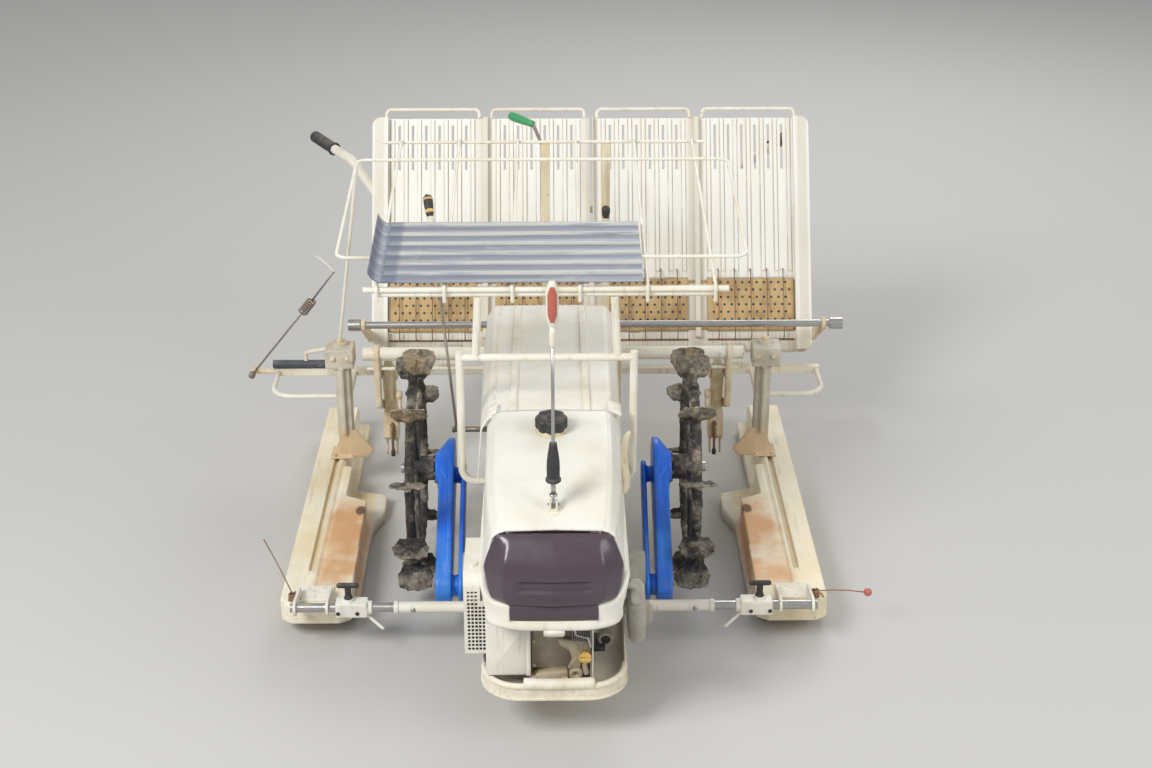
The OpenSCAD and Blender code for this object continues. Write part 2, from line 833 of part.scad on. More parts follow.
module wheel_right() {
    color(mud) translate([axle_x, 0, axle_z]) difference() {
        union() {
            rotate([0, 90, 0]) rotate_extrude($fn = 80) translate([rim_r, 0]) circle(d = rim_d, $fn = 24);
            for (i = [0 : lug_count - 1]) rotate([180 + i * 360 / lug_count, 0, 0]) lug();
            for (i = [0 : spoke_count - 1])
                rotate([18 + i * 360 / spoke_count, 0, 0])
                    translate([0, 0, hub_d / 2 - 4])
                        cylinder(d = spoke_d, h = rim_r - hub_d / 2 + 4 - rim_d / 4, $fn = 24);
            translate([hub_in - axle_x, 0, 0]) rotate([0, 90, 0])
                cylinder(d = hub_d, h = hub_out - hub_in, $fn = 64);
        }
        translate([hub_in - axle_x - 1, 0, 0]) rotate([0, 90, 0])
            cylinder(d = shaft_d + 2 * fit, h = hub_out - hub_in + 2, $fn = 64);
    }
}

module wheel_left() {
    other_side() wheel_right();
}

// Guard hoop and rack

hoop_half = 197;
hoop_z = 715;
hoop_low = 400;

module guard_hoop() {
    color(white) translate([upper_x, 0, 0]) {
        bar([-hoop_half, rack_y, hoop_z], [hoop_half, rack_y, hoop_z], 18);
        both_sides() {
            bar([160, rack_y, hoop_z], [152, rack_y, rack_z - 19.2], 18);
        }
    }
    color(white) for (s = [-1, 1])
        bent_bar([
            [upper_x + s * hoop_half, rack_y, hoop_z + 14],
            [upper_x + s * hoop_half, rack_y, hoop_low],
            [s * (rail_side + seat_gap), rack_y, hoop_low],
        ], 18, 34);
}

rack_wire_count = 6;
loop_z = 17;
rack_wire_pitch = row_pitch / 2;

module seedling_rack() {
    color(white) on_rack() {
        bar([-rack_half, 0, 0], [rack_half, 0, 0], 14);
        bar([-rack_half + 30, 3, -12.4], [rack_half - 30, 3, -12.4], 13);
        for (i = [0 : rack_wire_count - 1])
            translate([(i - (rack_wire_count - 1) / 2) * rack_wire_pitch, 0, 0])
                bent_bar([
                    [0, -10, -26], [0, -10, 10], [0, rack_depth - 6, 10], [0, rack_depth - 6, -8],
                ], wire_d, 9);
        bent_bar([
            [0, 122, loop_z], [rack_half + 52, 122, loop_z], [rack_half + 52, rack_depth - 148, loop_z],
            [-rack_half - 72, rack_depth - 148, loop_z], [-rack_half - 72, 122, loop_z], [0, 122, loop_z],
        ], wire_d, 26);
        bar([-rack_half - 20, rack_depth - 6, 2], [rack_half + 4, rack_depth - 6, 2], wire_d);
    }
}

column_x = [-18, 140];
column_y = 538;
column_t = 10;

module rack_columns() {
    rear_wire_z = rack_z + (rack_depth - 6) * sin(rack_tilt) + 2 * cos(rack_tilt);
    color(cream) for (x = column_x) {
        translate([x - 11, column_y - column_t / 2, beam_z - 28])
            cube([22, column_t, rear_wire_z - wire_d / 2 - 2 * seat_gap - beam_z + 28]);
        translate([x - 11, beam_y + 25 + seat_gap, beam_z - 22])
            cube([22, column_y - beam_y - 27, 44]);
    }
}

// Ribbed plate that scoops seedling mats out of their boxes
scoop_w = 576;
scoop_d = 290;
scoop_ribs = 6;

module scoop_plate() {
    left = -361;
    rib = scoop_d / scoop_ribs;
    color(steel) on_rack() translate([left, -9, loop_z + wire_d / 2 + seat_gap]) {
        along_x(0, scoop_w)
            polygon(concat(
                [for (i = [0 : scoop_ribs - 1]) each [
                    [i * rib, 0], [(i + 0.7) * rib, 0], [(i + 0.78) * rib, 5], [(i + 0.94) * rib, 5],
                ]],
                [[scoop_d, 0], [scoop_d, 2.5]],
                [for (i = [scoop_ribs - 1 : -1 : 0]) each [
                    [(i + 0.96) * rib, 7.5], [(i + 0.76) * rib, 7.5], [(i + 0.68) * rib, 2.5], [i * rib, 2.5],
                ]]
            ));
        translate([2, 0, 34]) rotate([-90, 0, 0])
            rotate_extrude(angle = 80, start = 90, $fn = 48) translate([31.5, 0]) square([2.5, scoop_d]);
    }
}

// Planting unit

tie_rod = [beam_y - 8, beam_z - 40];
tie_rod_d = 9;

module planting_beam() {
    color(white) {
        bar([-beam_half, beam_y, beam_z], [beam_half, beam_y, beam_z], beam_d);
        for (x = [-118, 118])
            translate([x - 37, beam_y - 25, beam_z - 25]) cube([74, 50, 50]);
        translate([column_x[0] - 20, beam_y - 25, beam_z - 25]) cube([40, 50, 50]);
    }
    color(steel) both_sides()
        bar([beam_half - 10, tie_rod.x, tie_rod.y], [100, tie_rod.x, tie_rod.y], tie_rod_d);
}

post_w = 40;
post_head = 86;

module planting_post_right() {
    foot = float_h + seat_gap;
    color(casting) {
        translate([post_x - post_w / 2, beam_y - 25, foot]) cube([post_w, 50, beam_z - 29 - foot]);
        translate([post_x - 5, beam_y - 36, 172]) cube([10, 14, beam_z - 28 - 172]);
        translate([post_x - post_head / 2 + 10, beam_y - 34, beam_z - 30])
            cube([post_head - 10, 68, 56]);
        translate([post_x - 22, beam_y - 36, foot]) cube([66, 72, 6]);
        translate([post_x + 4, beam_y, beam_z + 25]) cylinder(d = 40, h = 12, $fn = 32);
        translate([post_x - 26, beam_y - 33, beam_z - 2]) rotate([90, 0, 0])
            cylinder(d = 15, h = 6, $fn = 6);
    }
    color("#b98a55") translate([0, beam_y - 18, 0]) rotate([90, 0, 0]) linear_extrude(height = 8)
        polygon([
            [post_x - 76, foot + 22], [post_x - 30, 182], [post_x - 10, 182],
            [post_x - 10, foot], [post_x - 62, foot],
        ]);
}

module planting_post_left() {
    other_side() planting_post_right();
}

// Planting arms, one to a row
arm_x = [for (i = [0 : row_count - 1]) (i - (row_count - 1) / 2) * row_pitch];
arm_y = 540;

module planting_arms() {
    color(casting) for (x = arm_x) {
        translate([x, 0, 0]) {
            along_x(-arm_w / 2, arm_w / 2)
                link_2d([arm_y - 6, beam_z - 82], 22, [arm_y + 10, 184], 17);
            along_x(-arm_w / 2 + 5, arm_w / 2 - 5)
                link_2d([arm_y - 10, beam_z - 70], 25, [arm_y - 12, 250], 17);
            translate([-19, arm_y - 12, 190]) cube([38, 38, 12]);
            along_x(-21, 21)
                polygon([
                    [arm_y - 12, 190], [arm_y - 18, 126], [arm_y - 8, 116],
                    [arm_y + 30, 116], [arm_y + 36, 178], [arm_y + 24, 192],
                ]);
            for (s = [-1, 1])
                along_x(s * 14 - 3, s * 14 + 3)
                    polygon([
                        [arm_y - 12, 120], [arm_y + 14, 120], [arm_y + 8, 98],
                        [arm_y - 10, 70], [arm_y - 14, 74], [arm_y - 6, 100],
                    ]);
            translate([0, arm_y - 20, 128]) cylinder(d = 12, h = 34, $fn = 24);
            for (z = [152, 284])
                translate([0, arm_y - (z < 200 ? 14 : 22), z]) rotate([90, 0, 0])
                    cylinder(d = 14, h = 12, $fn = 6);
        }
    }
}

// Crank cases and rockers that carry the arms
module planting_links() {
    color("#8a6a48") for (x = arm_x) {
        side = x < 0 ? -1 : 1;
        translate([x + side * (arm_w / 2 + seat_gap + 8), 0, 0]) {
            difference() {
                union() {
                    along_x(-8, 8) link_2d([arm_y - 6, beam_z - 82], 15, [beam_y, beam_z], 25);
                    along_x(-8, 8) link_2d([arm_y + 4, 220], 13, [arm_y - 56, 250], 13);
                    along_x(-8, 8) link_2d([beam_y + 4, 250], 13, [beam_y, beam_z], 24);
                }
                translate([-9, beam_y, beam_z]) rotate([0, 90, 0])
                    cylinder(d = beam_d + 2 * fit, h = 18, $fn = 48);
                translate([-9, tie_rod.x, tie_rod.y]) rotate([0, 90, 0])
                    cylinder(d = tie_rod_d + 2 * fit, h = 18, $fn = 24);
            }
        }
    }
}

// Rail that the table's foot slides along
rail_y = 642;
rail_z = 277;
rail_left = -775;
rail_right = 745;

module table_rail() {
    color(white) {
        translate([rail_left, rail_y - 10, rail_z - 10]) cube([rail_right - rail_left, 20, 20]);
        both_sides() translate([post_x - 18, beam_y + 25 + seat_gap, rail_z - 14])
            cube([36, rail_y - beam_y - 34, 18]);
    }
}

// Guard loops in front of the rail's ends
guard_loop_d = 13;
guard_loop_y = rail_y - 167;

module rail_guards() {
    color(white) for (end = [rail_left + 8, rail_right - 8])
        bent_bar([
            [end, rail_y - 10 - seat_gap, rail_z], [end, guard_loop_y, rail_z],
            [sign(end) * (post_x + post_w / 2 + seat_gap), guard_loop_y, rail_z],
        ], guard_loop_d, 60);
}

module side_grip() {
    grip_z = rail_z + 10 + 11 + seat_gap;
    color(dark) bar([rail_left - 5, rail_y, grip_z], [-612, rail_y, grip_z], 22);
    color(white) bent_bar([
        [-690, rail_y, grip_z + 11 + seat_gap], [-690, rail_y, grip_z + 36], [-588, rail_y - 60, grip_z + 78],
        [-588, beam_y + 34 + seat_gap, grip_z + 78],
    ], 12, 16);
}

// Seedling table

table_w = row_count * row_pitch + 2 * 20;
table_sheet = 6;
lip = 36;
back_bar_y = 958;
back_bar_z = 640;
back_bar_d = 22;
back_bar_up = (back_bar_y - table_y) * cos(table_tilt) + (back_bar_z - table_z) * sin(table_tilt);
back_bar_off = (back_bar_z - table_z) * cos(table_tilt) - (back_bar_y - table_y) * sin(table_tilt);
rib_pitch = 38;
slot_w = 7;
slot_len = 128;
belt_rod_y = [26, 160];
belt_rod_d = 9;
middle_gap_y = 324;
table_corner = 26;

module seedling_table() {
    color(white) translate([table_x, 0, 0])
        for (x = [-400, 400])
            along_x(x - 30, x + 30)
                polygon([
                    [rail_y - 12, rail_z + 10 + seat_gap], [rail_y - 12, rail_z + 26],
                    [table_y - 20, table_z - 14], [table_y, table_z - 14],
                    [table_y, table_z - 44], [rail_y + 12, rail_z + 10 + seat_gap],
                ]);
    color(white) on_table() for (x = [-260, 260])
        translate([x - 20, back_bar_up - 14, back_bar_off + back_bar_d / 2 + seat_gap])
            cube([40, 28, -back_bar_off - back_bar_d / 2 - seat_gap - 2]);
    color(white) on_table() difference() {
        intersection() {
            translate([0, (table_len - lip - 4) / 2, -31])
                linear_extrude(height = 62) rounded_2d(table_w, table_len + lip + 4, table_corner);
            union() {
                translate([-table_w / 2, -lip, -table_sheet]) cube([table_w, table_len + lip, table_sheet]);
                for (s = [-1, 1])
                    translate([s * (table_w - table_edge) / 2 - table_edge / 2, -lip, -22])
                        cube([table_edge, table_len + lip, 46]);
                for (i = [1 : row_count - 1])
                    translate([(i - row_count / 2) * row_pitch - 7, 0, -1]) cube([14, table_len, 22]);
                for (lane = [0 : row_count - 1], k = [-3 : 3])
                    translate([(lane - (row_count - 1) / 2) * row_pitch + k * rib_pitch - 5, 190, -1])
                        cube([10, table_len - 194, 5]);
                translate([-table_w / 2, -lip - 4, -30]) cube([table_w, 30, 26]);
            }
        }
        for (lane = [0 : row_count - 1], k = [-3 : 2])
            translate([
                (lane - (row_count - 1) / 2) * row_pitch + (k + 0.5) * rib_pitch - slot_w / 2,
                table_len - slot_len - 20, -20,
            ])
                cube([slot_w, slot_len, 40]);
        for (lane = [0 : row_count - 1])
            translate([(lane - (row_count - 1) / 2) * row_pitch - 124, 14, -table_sheet - 1])
                cube([248, 158, 20]);
        for (y = belt_rod_y)
            translate([-table_w / 2 + 3, y, 0]) rotate([0, 90, 0])
                cylinder(d = belt_rod_d + 2 * fit, h = table_w - 6, $fn = 24);
        translate([-4, middle_gap_y, -31]) cube([8, table_len, 62]);
    }
}

// Tan feed belts at the lower end of the lanes
module feed_belts() {
    color(tan_belt) on_table() for (lane = [0 : row_count - 1])
        translate([(lane - (row_count - 1) / 2) * row_pitch - 122, 26, -9]) {
            cube([244, 134, 18]);
            for (y = [0, 134])
                translate([0, y, 9]) rotate([0, 90, 0]) cylinder(d = 18, h = 244, $fn = 32);
        }
    color(dark) on_table()
        for (y = belt_rod_y)
            translate([-table_w / 2 + 4, y, 0]) rotate([0, 90, 0])
                cylinder(d = belt_rod_d, h = table_w - 8, $fn = 24);
}

// Rounded rails on top of the lanes
module table_bails() {
    color(white) on_table() for (lane = [0 : row_count - 1])
        translate([(lane - (row_count - 1) / 2) * row_pitch, table_len + seat_gap, 0])
            bent_bar([
                [-132, 0, 0], [-132, 26, 0], [132, 26, 0], [132, 0, 0],
            ], 10, 14);
}

table_bar_y = 560;
table_bar_z = 450;
table_bar_left = -666;
table_bar_right = 678;

module table_bar() {
    color(steel) translate([table_x, 0, 0]) {
        bar([table_bar_left, table_bar_y, table_bar_z], [table_bar_right, table_bar_y, table_bar_z],
            table_bar_d - bend_step);
        for (x = [table_bar_left, table_bar_right - 34])
            translate([x, table_bar_y, table_bar_z]) rotate([0, 90, 0])
                cylinder(d = 32, h = x < 0 ? -table_w / 2 - 13 - x : 34, $fn = 40);
    }
}

// Arms that join the steel bar to the table's sides
module bar_arms() {
    color(casting) translate([table_x, 0, 0])
        for (x = [-table_w / 2 - 12 - seat_gap, table_w / 2 + seat_gap]) difference() {
            along_x(x, x + 12)
                link_2d([table_bar_y, table_bar_z], 17, [table_y + 4, table_z + 4], 14);
            translate([x - 1, table_bar_y, table_bar_z]) rotate([0, 90, 0])
                cylinder(d = table_bar_d - bend_step + 2 * fit, h = 14, $fn = 40);
        }
}

// Handles

handle_path = [
    [96, beam_y + 25 + seat_gap, beam_z - 12], [96, beam_y + 70, beam_z - 12],
    [96, rail_y - 20, rail_z - 44], [200, 860, 236],
    [575, 1052, 756], [640, 1150, 762],
];

module handlebar() {
    color(white) {
        both_sides() bent_bar(handle_path, handle_d, 45);
        climb = handle_path[4] - handle_path[3];
        brace = handle_path[3] + climb * (back_bar_z - handle_path[3].z) / climb.z;
        bar([-440, back_bar_y, back_bar_z], [440, back_bar_y, back_bar_z], back_bar_d);
        both_sides() bar([432, back_bar_y, back_bar_z], brace, 18);
    }
}

module hand_grips() {
    a = handle_path[4];
    b = handle_path[5];
    color(dark) both_sides()
        bar(b + unit(b - a) * seat_gap, b + unit(b - a) * 128, grip_d);
}

// Hand levers: the green one on a rear column, the knob on the other, the long one at the side
side_lever_foot = [-238, 22, beam_z];
side_lever_top = [-324, 500, 838];
green_lever_z = 930;
green_grip_foot = [-50, 655, 985];
green_grip_top = [-112, 712, 992];
knob_lever_z = 781;

module levers() {
    side_lever_run = unit(side_lever_top - side_lever_foot);
    knob_y = column_y - 30;
    color("#3f9a52") bar(green_grip_foot, green_grip_top, 24);
    color(dark) {
        bent_bar([
            [column_x[0], column_y + column_t / 2 + seat_gap, green_lever_z],
            [column_x[0], 585, green_lever_z], green_grip_foot,
        ], 9, 18);
        bar(side_lever_foot, side_lever_top, 7);
        bar([-rail_side - seat_gap, side_lever_foot.y, beam_z], [-246, side_lever_foot.y, beam_z], 14);
        bar(side_lever_top - 62 * side_lever_run, side_lever_top, 24);
        bar([column_x[1], column_y - column_t / 2 - seat_gap, knob_lever_z],
            [column_x[1], knob_y, knob_lever_z], 9);
        bar([column_x[1], knob_y + 2, knob_lever_z - 3], [column_x[1], knob_y - 2, knob_lever_z + 25], 22);
    }
}

// Rod that stays the rack to the left planting post
module rack_stay() {
    color(white) bar([-post_x - 4, beam_y, beam_z + 38 + seat_gap], [upper_x - rack_half - 72, 396, 964], 9);
}

// Line marker on the left end of the rail
marker_pivot = [-836, 600, 285];

module marker_bracket() {
    color(casting) {
        bar([rail_left - seat_gap, rail_y, rail_z], [marker_pivot.x, rail_y, rail_z], 14);
        translate([marker_pivot.x, marker_pivot.y + 8, marker_pivot.z]) rotate([-90, 0, 0])
            cylinder(d = 18, h = rail_y - marker_pivot.y - 4, $fn = 32);
    }
}

module marker_arm() {
    coil_at = [-658, 500, 528];
    bend = [-572, 450, 650];
    color(dark) {
        translate(marker_pivot + [0, -8, 0]) rotate([-90, 0, 0]) cylinder(d = 18, h = 15.6, $fn = 32);
        bar(marker_pivot, coil_at, 5);
        bar(coil_at, bend, 5);
        bar(coil_at - unit(bend - marker_pivot) * 16, coil_at + unit(bend - marker_pivot) * 18, 22);
    }
    color(white) bar(bend, bend + [-44, -4, 46], 4);
}

// Aiming pole on the nose, which folds forwards about its pin
pole_y = -690;
pole_slope = atan2(46, -610 - nose_y - 62);
pole_foot = hood_z - 80 + (pole_y - nose_y - 62) * tan(pole_slope) + 2 * seat_gap;
pole_pin_z = pole_foot + 20;
pole_top = 1086;
pole_pin_d = 5;

module pole_base() {
    color(white) {
        translate([0, pole_y, pole_foot]) rotate([pole_slope, 0, 0]) cylinder(d = 30, h = 8, $fn = 32);
        difference() {
            translate([-9, pole_y - 8, pole_foot + 4]) cube([18, 16, 24]);
            translate([-4.5, pole_y - 9, pole_foot + 12]) cube([9, 18, 20]);
            translate([-10, pole_y, pole_pin_z]) rotate([0, 90, 0])
                cylinder(d = pole_pin_d + 2 * fit, h = 20, $fn = 24);
        }
    }
}

module aiming_pole() {
    paddle = pole_top - 106;
    color(steel) {
        translate([0, pole_y, pole_pin_z + 6]) cylinder(d = 8, h = paddle + 8 - pole_pin_z, $fn = 24);
        translate([0, pole_y, paddle - 32]) cylinder(d = 12, h = 36, $fn = 24);
        translate([-4, pole_y - 5, pole_pin_z - 5]) cube([8, 10, 16]);
        translate([-13, pole_y, pole_pin_z]) rotate([0, 90, 0]) cylinder(d = pole_pin_d, h = 26, $fn = 24);
    }
    color(dark) {
        translate([0, pole_y, 672]) cylinder(d1 = 30, d2 = 15, h = 86, $fn = 40);
        translate([0, pole_y, 664]) cylinder(d = 32, h = 9, $fn = 40);
    }
    color("#c9675c") translate([0, pole_y + 2, paddle]) rotate([90, 0, 0])
        linear_extrude(height = 4)
            polygon([
                [-6, 0], [-13, 20], [-13, 84], [-6, 106],
                [6, 106], [13, 84], [13, 20], [6, 0],
            ]);
}

centre_float();
float_left();
float_right();
float_brackets();
front_bar();
bar_rods();
clamp_left();
clamp_right();
clamp_knobs();
feeler_left();
feeler_right();
engine_block();
engine_guard();
engine_front();
fan_cover();
air_cleaner();
oil_cap();
hood();
hood_skirt();
nose_panel();
fuel_cap();
rear_cover();
transmission();
frame_rails();
swing_case_left();
swing_case_right();
axle_left();
axle_right();
wheel_left();
wheel_right();
guard_hoop();
seedling_rack();
rack_columns();
scoop_plate();
planting_beam();
planting_post_left();
planting_post_right();
planting_arms();
planting_links();
table_rail();
rail_guards();
side_grip();
seedling_table();
table_bails();
feed_belts();
table_bar();
bar_arms();
handlebar();
hand_grips();
levers();
rack_stay();
marker_bracket();
marker_arm();
pole_base();
aiming_pole();
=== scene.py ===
"""Looks of a walk-behind rice transplanter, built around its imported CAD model.

Metres, in the model's frame: +Z up, the machine drives towards -Y, +X is on the right in the
photograph, and the origin is on the ground under the wheel axle.
"""

import math

import bmesh
import bpy
from mathutils import Matrix, Vector
from mathutils import noise as perlin


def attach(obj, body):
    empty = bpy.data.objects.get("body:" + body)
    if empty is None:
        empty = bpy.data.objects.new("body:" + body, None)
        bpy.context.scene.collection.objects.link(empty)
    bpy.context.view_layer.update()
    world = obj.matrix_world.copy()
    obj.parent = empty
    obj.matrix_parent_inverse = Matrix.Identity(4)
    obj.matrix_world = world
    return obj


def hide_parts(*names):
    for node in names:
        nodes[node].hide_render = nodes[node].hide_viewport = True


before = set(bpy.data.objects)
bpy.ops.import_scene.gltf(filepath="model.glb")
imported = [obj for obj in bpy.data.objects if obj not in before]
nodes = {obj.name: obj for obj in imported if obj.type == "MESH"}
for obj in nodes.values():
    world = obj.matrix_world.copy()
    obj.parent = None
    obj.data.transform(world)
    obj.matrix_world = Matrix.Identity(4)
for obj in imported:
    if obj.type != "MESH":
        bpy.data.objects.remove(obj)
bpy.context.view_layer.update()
MM = 0.001
HUB_Z = 0.305
# These two in millimetres
ROW_PITCH = 300
TABLE_MIDDLE = 110

# Camera, at the photograph's place and angle
PHOTO_WIDTH = 1152
PHOTO_FOCAL = 1800
SENSOR = 36.0
CAMERA_AT = (0.005, -3.951, 2.374)
PITCH_DOWN = 25.0
YAW_RIGHT = 0.73


def add_camera():
    data = bpy.data.cameras.new("camera")
    data.sensor_width = SENSOR
    data.lens = PHOTO_FOCAL / PHOTO_WIDTH * SENSOR
    data.clip_end = 60
    camera = bpy.data.objects.new("camera", data)
    camera.location = CAMERA_AT
    camera.rotation_euler = (math.radians(90 - PITCH_DOWN), 0, -math.radians(YAW_RIGHT))
    bpy.context.scene.collection.objects.link(camera)
    bpy.context.scene.camera = camera


# Materials


class Value:
    """A socket that a Look made. Arithmetic on it adds Math nodes."""

    def __init__(self, look, socket):
        self.look, self.socket = look, socket

    def math(self, operation, *others):
        return self.look.node("Math", dict(enumerate((self, *others))), operation=operation)

    def __add__(self, other):
        return self.math("ADD", other)

    def __mul__(self, other):
        return self.math("MULTIPLY", other)

    def __sub__(self, other):
        return self.math("SUBTRACT", other)

    def __rsub__(self, other):
        return self.look.node("Math", {0: other, 1: self}, operation="SUBTRACT")

    def __pow__(self, other):
        return self.math("POWER", other)

    def __abs__(self):
        return self.math("ABSOLUTE")

    def most(self, other):
        return self.math("MAXIMUM", other)

    def step(self, low, high):
        """0 below low, 1 above high, smooth between. With low above high it falls instead."""
        rises = low < high
        return self.look.node("MapRange", {
            "Value": self, "From Min": min(low, high), "From Max": max(low, high),
            "To Min": 0 if rises else 1, "To Max": 1 if rises else 0,
        }, interpolation_type="SMOOTHSTEP")

    def scaled(self, low, high):
        return self.look.node("MapRange", {"Value": self, "To Min": low, "To Max": high})

    def wrapped(self, half):
        """The value brought between -half and half, by whole steps of twice half."""
        return self.math("WRAP", half, -half)


class Look:
    """A material made of nodes. noise and the like give Values. coat lays a colour over the last."""

    def __init__(self, name):
        self.material = bpy.data.materials.new(name)
        self.material.use_nodes = True
        self.tree = self.material.node_tree
        self.shader = self.tree.nodes["Principled BSDF"]
        self.place = self.node("TexCoord", out="Object")
        self.x, self.y, self.z = (self.axis(self.place, letter) for letter in "XYZ")
        self.facing = self.node("NewGeometry", out="Normal")
        self.colour = None

    def node(self, kind, inputs=None, out=0, **settings):
        made = self.tree.nodes.new("ShaderNode" + kind)
        for key, value in settings.items():
            setattr(made, key, value)
        for socket, value in (inputs or {}).items():
            self.put(made.inputs[socket], value)
        return Value(self, made.outputs[out])

    def put(self, socket, value):
        if isinstance(value, Value):
            self.tree.links.new(value.socket, socket)
        elif isinstance(value, tuple) and len(value) == 3 and socket.type == "RGBA":
            socket.default_value = (*value, 1)
        else:
            socket.default_value = value

    def noise(self, scale, detail=4.0, rough=0.55, stretch=None):
        """stretch gives a scale along each axis, for noise that runs in streaks."""
        at = self.place
        if stretch:
            at = self.node("Mapping", {"Vector": at, "Scale": stretch})
        inputs = {"Vector": at, "Scale": scale, "Detail": detail, "Roughness": rough}
        return self.node("TexNoise", inputs, "Fac")

    def streaks(self, stretch, detail, rough=0.6):
        return self.noise(1.0, detail, rough, stretch)

    def axis(self, vector, letter):
        return self.node("SeparateXYZ", {0: vector}, letter)

    def up(self, low, high):
        """1 on faces that look up."""
        return self.axis(self.facing, "Z").step(low, high)

    def blend(self, factor, a, b):
        return self.node("Mix", {0: factor, 6: a, 7: b}, 2, data_type="RGBA")

    def coat(self, mask, colour):
        self.colour = self.blend(mask, self.colour, colour)

    def finish(self, rough, height=None, depth=0.0005, edge=0.0, metal=0.0, coat=0.0):
        """edge is the radius that the shading rounds sharp edges to."""
        for socket, value in {
            "Base Color": self.colour, "Roughness": rough, "Metallic": metal,
            "Coat Weight": coat, "Coat Roughness": 0.12,
        }.items():
            self.put(self.shader.inputs[socket], value)
        normal = self.node("Bevel", {"Radius": edge}, samples=4) if edge else None
        if height is not None:
            inputs = {"Height": height, "Distance": depth, "Strength": 1.0}
            if normal:
                inputs["Normal"] = normal
            normal = self.node("Bump", inputs)
        if normal:
            self.put(self.shader.inputs["Normal"], normal)
        return self.material


def shade(colour, factor):
    return tuple(factor * c for c in colour)


MUD = (0.20, 0.165, 0.12)
DUST = (0.50, 0.41, 0.29)
RUST = (0.20, 0.075, 0.025)
RUST_PALE = (0.40, 0.19, 0.07)


def worn_paint(
    name, paint, faded, rough=0.42, dust=0.5, rust=0.5, low_dirt=0.35, edge=0.0015,
    runs=0.42, mud=0.75, mud_colour=MUD, holes=None,
):
    """Old paint: faded patches, run stains, dust on what faces up, mud low down, rust at chips.
    holes gives the X and Z range of a grid whose hole walls take near-black painted shade."""
    look = Look(name)
    look.colour = look.blend(look.noise(5.5, 5).step(0.38, 0.66), paint, faded)
    up = look.up(0.2, 1.0)
    look.coat(look.streaks((55, 55, 5), 5).step(0.53, 0.74) * (1.0 - up) * runs, shade(DUST, 0.72))
    film = up * look.noise(14, 6, 0.65).step(0.42, 0.72) * dust
    look.coat(film, DUST)
    splash = (look.z + look.noise(26, 6, 0.7).scaled(-0.22, 0.22)).step(low_dirt, 0.02)
    spatter = look.noise(110, 4, 0.6).step(0.50, 0.68).most(look.noise(9, 5).step(0.48, 0.66))
    muddy = splash * spatter * mud
    look.coat(muddy, mud_colour)
    flaws = look.noise(62, 5, 0.7)
    bound = 0.735 - 0.075 * rust
    chips = flaws.step(bound, bound + 0.012)
    look.coat(flaws.step(bound - 0.07, bound + 0.02) * min(0.55, rust), RUST_PALE)
    look.coat(chips, RUST)
    if holes:
        left, right, low, high = holes
        within = look.x.step(left, left + MM) * look.x.step(right, right - MM)
        within = within * look.z.step(low, low + MM) * look.z.step(high, high - MM)
        # Painted shade: the walls of the grid's holes turn near black.
        look.coat(within * look.axis(look.facing, "Y").step(-0.8, -0.5), (0.012, 0.011, 0.010))
    gloss = look.noise(30, 4).scaled(-0.06, 0.12) + rough
    gloss = gloss.most(muddy.most(film.most(chips)) * 0.85)
    grain = look.noise(420, 3) * 0.25 + look.noise(24, 4) * 0.6
    return look.finish(gloss, grain + (chips * -0.9 + muddy * 0.8), 0.0007, edge)


def float_plastic(name):
    """Yellowed blow-moulded plastic, stained orange by rust on its humps and muddy at the foot."""
    look = Look(name)
    look.colour = look.blend(look.noise(4.5, 5).step(0.40, 0.72), (0.88, 0.81, 0.63), (0.80, 0.67, 0.43))
    look.coat(look.streaks((60, 5, 40), 4).step(0.52, 0.74) * 0.4, (0.60, 0.44, 0.25))
    side = abs(look.x)
    for place, width in ((0.5885, 0.0008), (0.5990, 0.0014)):
        groove = abs(side - place).step(width + 0.002, width) * look.z.step(0.080, 0.086)
        long = look.y.step(-0.17, -0.14) * look.y.step(0.66, 0.62)
        look.coat(groove * long * 0.55, (0.52, 0.37, 0.19))
    along = look.y + look.noise(9, 5).scaled(-0.05, 0.05)
    across = (side + look.noise(6, 5).scaled(-0.03, 0.03)).step(0.595, 0.560)
    hump = side.step(0.40, 0.46) * across * along.step(-0.27, -0.14) * along.step(0.26, 0.14)
    orange = look.blend(look.noise(13, 6, 0.65), (0.53, 0.21, 0.065), (0.73, 0.40, 0.165))
    look.coat(hump * look.noise(7, 5).step(0.30, 0.58) * 0.88, orange)
    # A dark spot stands for a hole: painted shade of its opening.
    hole_x, hole_y = side - 0.502, look.y - 0.155
    hole = hole_x * hole_x + hole_y * hole_y * 0.30 + look.noise(60).scaled(-0.00004, 0.00004)
    look.coat(hole.step(0.00022, 0.00010) * look.z.step(0.086, 0.092) * 0.9, (0.10, 0.055, 0.03))
    look.coat(side.step(0.487, 0.474) * side.step(0.43, 0.44) * 0.8, (0.84, 0.82, 0.74))
    low = (look.z + look.noise(22, 5).scaled(-0.025, 0.025)).step(0.05, 0.0)
    look.coat(low * 0.7, (0.40, 0.31, 0.20))
    look.coat(look.up(0.3, 1.0) * look.noise(17, 6, 0.7).step(0.54, 0.74) * 0.35, (0.62, 0.52, 0.36))
    look.coat(look.noise(120, 2).step(0.68, 0.74) * 0.6, MUD)
    rough = look.noise(25, 4).scaled(-0.05, 0.2) + 0.42
    return look.finish(rough, look.noise(300, 3) * 0.2 + look.noise(16, 5) * 0.8, 0.001, 0.003)


